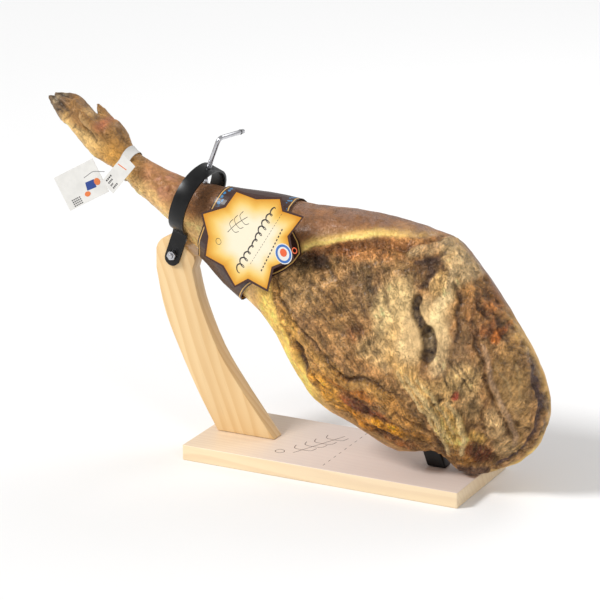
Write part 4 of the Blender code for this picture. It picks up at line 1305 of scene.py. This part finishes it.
class HAM_OT_sleeve(bpy.types.Operator):
    """Finishes the dark card sleeve round the shank, with its gold border lines"""

    bl_idname = "ham.sleeve"
    bl_label = "Sleeve"

    def execute(self, context):
        card = settings("ham_cards")
        sleeve = node_copy("label_sleeve", "card_sleeve")
        activate(sleeve)
        bpy.ops.object.mode_set(mode="EDIT")
        bpy.ops.mesh.select_all(action="SELECT")
        bpy.ops.mesh.quads_convert_to_tris()
        bpy.ops.mesh.subdivide(number_cuts=4)
        bpy.ops.mesh.select_mode(type="EDGE")
        bpy.ops.mesh.select_all(action="DESELECT")
        bpy.ops.mesh.edges_select_sharp(sharpness=radians(50))
        bpy.ops.object.mode_set(mode="OBJECT")
        mesh = sleeve.data
        points = mesh_points(mesh)
        rim_points = points[[vertex.index for vertex in mesh.vertices if vertex.select]]
        gaps = np.array([np.sqrt(((rim_points - point) ** 2).sum(1)).min() for point in points])
        store_value(mesh, "rim_gap", gaps)
        smooth_shaded(sleeve)
        gloss = {"Specular_IOR_Level": 0.4, "Coat_Weight": 0.12, "Coat_Roughness": 0.16}
        material, net, shader = new_material("dark_printed_card", **gloss)
        gap = net.attribute("rim_gap", "Fac")
        weave = net.noise(net.place(), 900.0, 3.0)
        gold_line = net.math("MULTIPLY", net.ramp(gap, 0.0016, 0.0020), net.ramp(gap, 0.0034, 0.0030))
        colour = net.mix(net.ramp(weave, 0.4, 0.7, 0.0, 0.3), tuple(card.sleeve), linear(88, 60, 48))
        marks = net.ramp(net.cells(net.place(), 170.0), 0.44, 0.36)
        printed = net.math("MULTIPLY", net.ramp(gap, 0.0042, 0.0046), net.ramp(gap, 0.0105, 0.0100))
        upper = net.ramp(net.add("SeparateXYZ", {0: net.place()}).outputs[2], 0.315, 0.320)
        printed = net.math("MULTIPLY", net.math("MULTIPLY", printed, marks), upper)
        colour = net.mix(printed, colour, linear(60, 128, 176))
        colour = net.mix(gold_line, colour, linear(214, 170, 96))
        net.feed(shader.inputs["Base Color"], colour)
        net.feed(shader.inputs["Roughness"], net.ramp(weave, 0.3, 0.7, 0.28, 0.40))
        net.feed(shader.inputs["Normal"], net.bump(weave, 0.06, 0.0002))
        finish_piece(sleeve, material, STAND)
        return {"FINISHED"}


# Points of the star card, in order round it: reach in millimetres and direction in degrees.
STAR_OUTLINE = [
    (66, 111), (58, 83), (77, 55), (68, 45), (89, 30), (59, 17), (64, -10), (43, -41),
    (63, -68), (51, -97), (68, -113), (60, -139), (79, -157), (69, -176), (80, 163), (57, 137),
]

STAR_BORDER = 3.6


class HAM_OT_star(bpy.types.Operator):
    """Makes the gold star card with its plain printed shapes"""

    bl_idname = "ham.star"
    bl_label = "Star card"

    def execute(self, context):
        card = settings("ham_cards")
        back = node_copy("star_label", "star_card")
        smooth_shaded(back)
        finish_piece(back, card_material("star_edge", linear(62, 30, 20)), STAND)
        face = self.face()
        material, net, shader = new_material("gold_printed_card", Specular_IOR_Level=0.3)
        share = net.attribute("centre_gap", "Fac")
        cloud = net.noise(net.place(), 40.0, 3.0)
        share = net.math("ADD", share, net.math("MULTIPLY", net.math("SUBTRACT", cloud, 0.5), 0.12))
        colour = net.mix(net.ramp(share, 0.36, 0.82), tuple(card.cream), linear(236, 196, 96))
        colour = net.mix(net.ramp(share, 0.66, 1.0), colour, tuple(card.gold))
        tooth = net.noise(net.place(), 1400.0, 3.0)
        net.feed(shader.inputs["Base Color"], colour)
        net.feed(shader.inputs["Roughness"], net.ramp(tooth, 0.3, 0.7, 0.34, 0.46))
        net.feed(shader.inputs["Normal"], net.bump(tooth, 0.05, 0.0002))
        finish_piece(face, material, STAND)
        self.prints(card)
        return {"FINISHED"}

    def face(self):
        """The gold face, a little smaller than the dark card, with each point's share of the way out."""
        outline = []
        for reach, angle in STAR_OUTLINE:
            inner = (reach - STAR_BORDER) / 1000
            outline.append((inner * cos(radians(angle)), inner * sin(radians(angle))))
        face = shape_mesh(outline, 0.0003)
        activate(face)
        bpy.ops.object.mode_set(mode="EDIT")
        bpy.ops.mesh.select_all(action="SELECT")
        bpy.ops.mesh.quads_convert_to_tris(ngon_method="BEAUTY")
        for _ in range(4):
            bpy.ops.mesh.subdivide(number_cuts=1)
        bpy.ops.object.mode_set(mode="OBJECT")
        points = mesh_points(face.data)
        turn = np.degrees(np.arctan2(points[:, 1], points[:, 0])) % 360
        reaches, angles = np.array(STAR_OUTLINE, float).T
        edge = np.interp(turn, angles, reaches, period=360) / 1000
        store_value(face.data, "centre_gap", np.hypot(points[:, 0], points[:, 1]) / edge)
        face.name = "star_face"
        place_mesh(face, STAR @ Matrix.Translation((0, 0, CARD / 2 + 0.00005)))
        smooth_shaded(face)
        return face

    def prints(self, card):
        """Plain shapes only: a sprig, a flourish, rules, a round seal and a small ring."""
        mm = 0.001
        ink = card_material("ink", tuple(card.ink))
        lift = CARD / 2 + 0.0004
        sprig = [(-36, 6), (-28, 14), (-18, 22), (-6, 30)]
        pieces = [line_mesh([(x * mm, y * mm) for x, y in curve_points(sprig, 16)], 0.0007)]
        for share in (4, 8, 12):
            x, y = curve_points(sprig, 16)[share]
            for side in (-1, 1):
                middle = (x + 1.5 - 4 * side, y + 1 + 5 * side)
                tip = (x + 7 - 4 * side, y + 5 + 7 * side)
                leaf = [(x, y), middle, tip]
                pieces.append(line_mesh([(a * mm, b * mm) for a, b in curve_points(leaf, 8)], 0.0007))
        pieces.append(ring_mesh((-0.050, -0.008), 0.0042, 0.0006))
        flourish = []
        for i in range(321):
            t = i / 320
            along = Vector((-21, -40)).lerp(Vector((34, 48)), t)
            swing = -(3.4 + 1.6 * sin(t * 11.0)) * cos(t * 2 * pi * 10)
            slip = -3.2 * sin(t * 2 * pi * 10)
            at = (along + Vector((-0.85, 0.53)) * swing + Vector((0.53, 0.85)) * slip) * mm
            flourish.append((at.x, at.y, 0.5 + 0.9 * abs(sin(t * pi * 10))))
        pieces.append(line_mesh(flourish, 0.0013))
        for start, end, count in (((-2, -28), (46, 44), 19), ((14, -34), (47, 26), 13)):
            for i in range(count):
                a = Vector(start).lerp(Vector(end), i / count)
                b = Vector(start).lerp(Vector(end), (i + 0.55) / count)
                pieces.append(line_mesh([tuple(a * mm), tuple(b * mm)], 0.0005 if count > 15 else 0.0016))
        print_piece("star_ink", pieces, STAR, ink, lift)
        white = card_material("seal_white", tuple(card.white))
        seal = (0.0475, -0.0065)
        print_piece("star_seal_white", [disc_mesh(seal, 0.0128)], STAR, white, lift)
        blue = card_material("seal_blue", linear(60, 110, 180))
        ring = ring_mesh(seal, 0.0116, 0.0030)
        print_piece("star_seal_blue", [ring], STAR, blue, lift + 0.0002)
        orange = card_material("seal_orange", linear(228, 96, 50))
        dots = [disc_mesh((0.0475, -0.0050), 0.0050), ring_mesh((0.0640, 0.0004), 0.0040, 0.0013)]
        print_piece("star_seal_orange", dots, STAR, orange, lift + 0.0003)


class HAM_OT_tags(bpy.types.Operator):
    """Makes the ankle strip and the two white tags with plain printed shapes"""

    bl_idname = "ham.tags"
    bl_label = "Tags"

    def execute(self, context):
        card = settings("ham_cards")
        paper = card_material("white_paper", tuple(card.white), 0.6)
        band = node_copy("ankle_band", "paper_band")
        smooth_shaded(band)
        finish_piece(band, paper, STAND)
        for node, name in (("small_tag", "small_paper_tag"), ("large_tag", "large_paper_tag")):
            tag = node_copy(node, name)
            add_bevel(tag, 0.00015, 1)
            smooth_shaded(tag)
            finish_piece(tag, paper, STAND)
        self.prints(card)
        return {"FINISHED"}

    def prints(self, card):
        small = Matrix.Translation((0, SMALL_TAG_Y - CARD / 2, 0)) @ Matrix.Rotation(pi / 2, 4, "X")
        large = Matrix.Translation((0, LARGE_TAG_Y - CARD / 2, 0)) @ Matrix.Rotation(pi / 2, 4, "X")
        ink = card_material("tag_ink", tuple(card.ink))
        orange = card_material("tag_orange", tuple(card.orange))
        blue = card_material("tag_blue", tuple(card.blue))
        grey = card_material("tag_grey", linear(120, 118, 118))
        rows = []
        along = Vector((0.64, 0.77))
        across = Vector((0.77, -0.64))
        for k, reach in enumerate((0.012, 0.009, 0.005, 0.010)):
            start = Vector((-0.3130, 0.3292)) + across * 0.0042 * k + along * 0.0015
            for i in range(4):
                a = start + along * reach * i / 4
                rows.append(line_mesh([tuple(a), tuple(a + along * reach * 0.17)], 0.0022))
        print_piece("small_tag_marks", rows, small, ink, 0.0)
        stripe = [line_mesh([(-0.2951, 0.3543), (-0.2833, 0.3479)], 0.0014)]
        print_piece("small_tag_stripe", stripe, small, orange, 0.0)
        field = [(-0.3462, 0.3225), (-0.3336, 0.3287), (-0.3300, 0.3190), (-0.3432, 0.3125)]
        print_piece("large_tag_field", [shape_mesh(field)], large, blue, 0.0)
        dots = [disc_mesh((-0.3290, 0.3262), 0.0045)]
        dots.append(disc_mesh((-0.3428, 0.3085), 0.0045, squash=0.7, turn=0.5))
        print_piece("large_tag_spots", dots, large, orange, 0.0001)
        arch = [(-0.3479, 0.3283), (-0.3400, 0.3345), (-0.3333, 0.3385), (-0.3180, 0.3400)]
        arch_line = line_mesh(curve_points(arch, 12), 0.0009)
        print_piece("large_tag_arc", [arch_line], large, grey, 0.0)
        bars = []
        for k in range(4):
            start = Vector((-0.3660, 0.2965)) + Vector((0.0014, -0.0022)) * k
            for i in range(5):
                a = start + Vector((0.0026, 0.0015)) * i
                bars.append(line_mesh([tuple(a), tuple(a + Vector((0.0017, 0.0010)))], 0.0016))
        print_piece("large_tag_bars", bars, large, ink, 0.0)


# ---------------------------------------------------------------- stage


class HAM_OT_stage(bpy.types.Operator):
    """Sets the pale floor, the soft lights and the camera"""

    bl_idname = "ham.stage"
    bl_label = "Stage"

    def execute(self, context):
        stage = settings("ham_stage")
        deselect_all()
        bpy.ops.mesh.primitive_plane_add(size=30.0, location=(0, 0, 0))
        floor = context.object
        floor.name = "floor"
        material, net, shader = new_material("floor_white", Roughness=0.9, Specular_IOR_Level=0.1)
        net.feed(shader.inputs["Base Color"], (0.90, 0.90, 0.90))
        floor.data.materials.append(material)
        self.world()
        self.lights(stage)
        self.camera(stage)
        return {"FINISHED"}

    def world(self):
        world = bpy.data.worlds.new("studio")
        bpy.context.scene.world = world
        world.use_nodes = True
        background = world.node_tree.nodes["Background"]
        background.inputs["Color"].default_value = (1.0, 1.0, 1.0, 1.0)
        background.inputs["Strength"].default_value = FILL_LIGHT

    def lights(self, stage):
        sun = bpy.data.lights.new("key_sun", "SUN")
        sun.energy = stage.key
        sun.angle = radians(16.0)
        self.aim(bpy.data.objects.new("key_sun", sun), (-1.25, -1.15, 1.75))
        for name, place, size, power in (
            ("side_softbox", (1.9, -1.6, 1.5), 0.7, stage.side),
            ("back_softbox", (0.3, 1.6, 1.7), 1.0, stage.side * 0.9),
        ):
            light = bpy.data.lights.new(name, "AREA")
            light.shape = "SQUARE"
            light.size = size
            light.energy = power
            self.aim(bpy.data.objects.new(name, light), place)

    def aim(self, lamp, place):
        bpy.context.scene.collection.objects.link(lamp)
        lamp.location = place
        towards = Vector((0, 0, 0.2)) - Vector(place)
        lamp.rotation_euler = towards.to_track_quat("-Z", "Y").to_euler()

    def camera(self, stage):
        camera = bpy.data.cameras.new("camera")
        camera.lens = stage.lens
        camera.sensor_width = 36.0
        camera.clip_end = 60.0
        holder = bpy.data.objects.new("camera", camera)
        bpy.context.scene.collection.objects.link(holder)
        level = cos(stage.elevation)
        back = Vector((sin(stage.azimuth) * level, -cos(stage.azimuth) * level, sin(stage.elevation)))
        right = Vector((cos(stage.azimuth), sin(stage.azimuth), 0))
        up = back.cross(right)
        place = back * stage.distance + right * CAMERA_ACROSS + up * CAMERA_RISE
        turn = Matrix((right, up, back)).transposed().to_4x4()
        holder.matrix_world = Matrix.Translation(place) @ turn
        bpy.context.scene.camera = holder
        bpy.context.scene.view_settings.view_transform = "Standard"


class HAM_PT_panel(bpy.types.Panel):
    """Lists the steps and settings"""

    bl_idname = "HAM_PT_panel"
    bl_label = "Cured ham in its stand"
    bl_space_type = "VIEW_3D"
    bl_region_type = "UI"
    bl_category = "Ham"

    def draw(self, context):
        for name in STEPS:
            self.layout.operator("ham." + name)
        for name, group in SETTINGS.items():
            box = self.layout.box()
            for field in group.__annotations__:
                box.prop(settings(name), field)


STEPS = ("wood", "engraving", "clamp", "ham", "sleeve", "star", "tags", "stage")
SETTINGS = {
    "ham_finish": HamFinish,
    "ham_wood": WoodFinish,
    "ham_metal": MetalFinish,
    "ham_cards": CardFinish,
    "ham_stage": StageSetup,
}
CLASSES = (
    *SETTINGS.values(),
    HAM_OT_wood,
    HAM_OT_engraving,
    HAM_OT_clamp,
    HAM_OT_ham,
    HAM_OT_sleeve,
    HAM_OT_star,
    HAM_OT_tags,
    HAM_OT_stage,
    HAM_PT_panel,
)


def register():
    for cls in CLASSES:
        bpy.utils.register_class(cls)
    for name, group in SETTINGS.items():
        setattr(bpy.types.Scene, name, PointerProperty(type=group))


def unregister():
    for name in SETTINGS:
        delattr(bpy.types.Scene, name)
    for cls in reversed(CLASSES):
        bpy.utils.unregister_class(cls)


def main():
    register()
    deselect_all()
    for name in STEPS:
        getattr(bpy.ops.ham, name)()


if __name__ == "__main__":
    main()
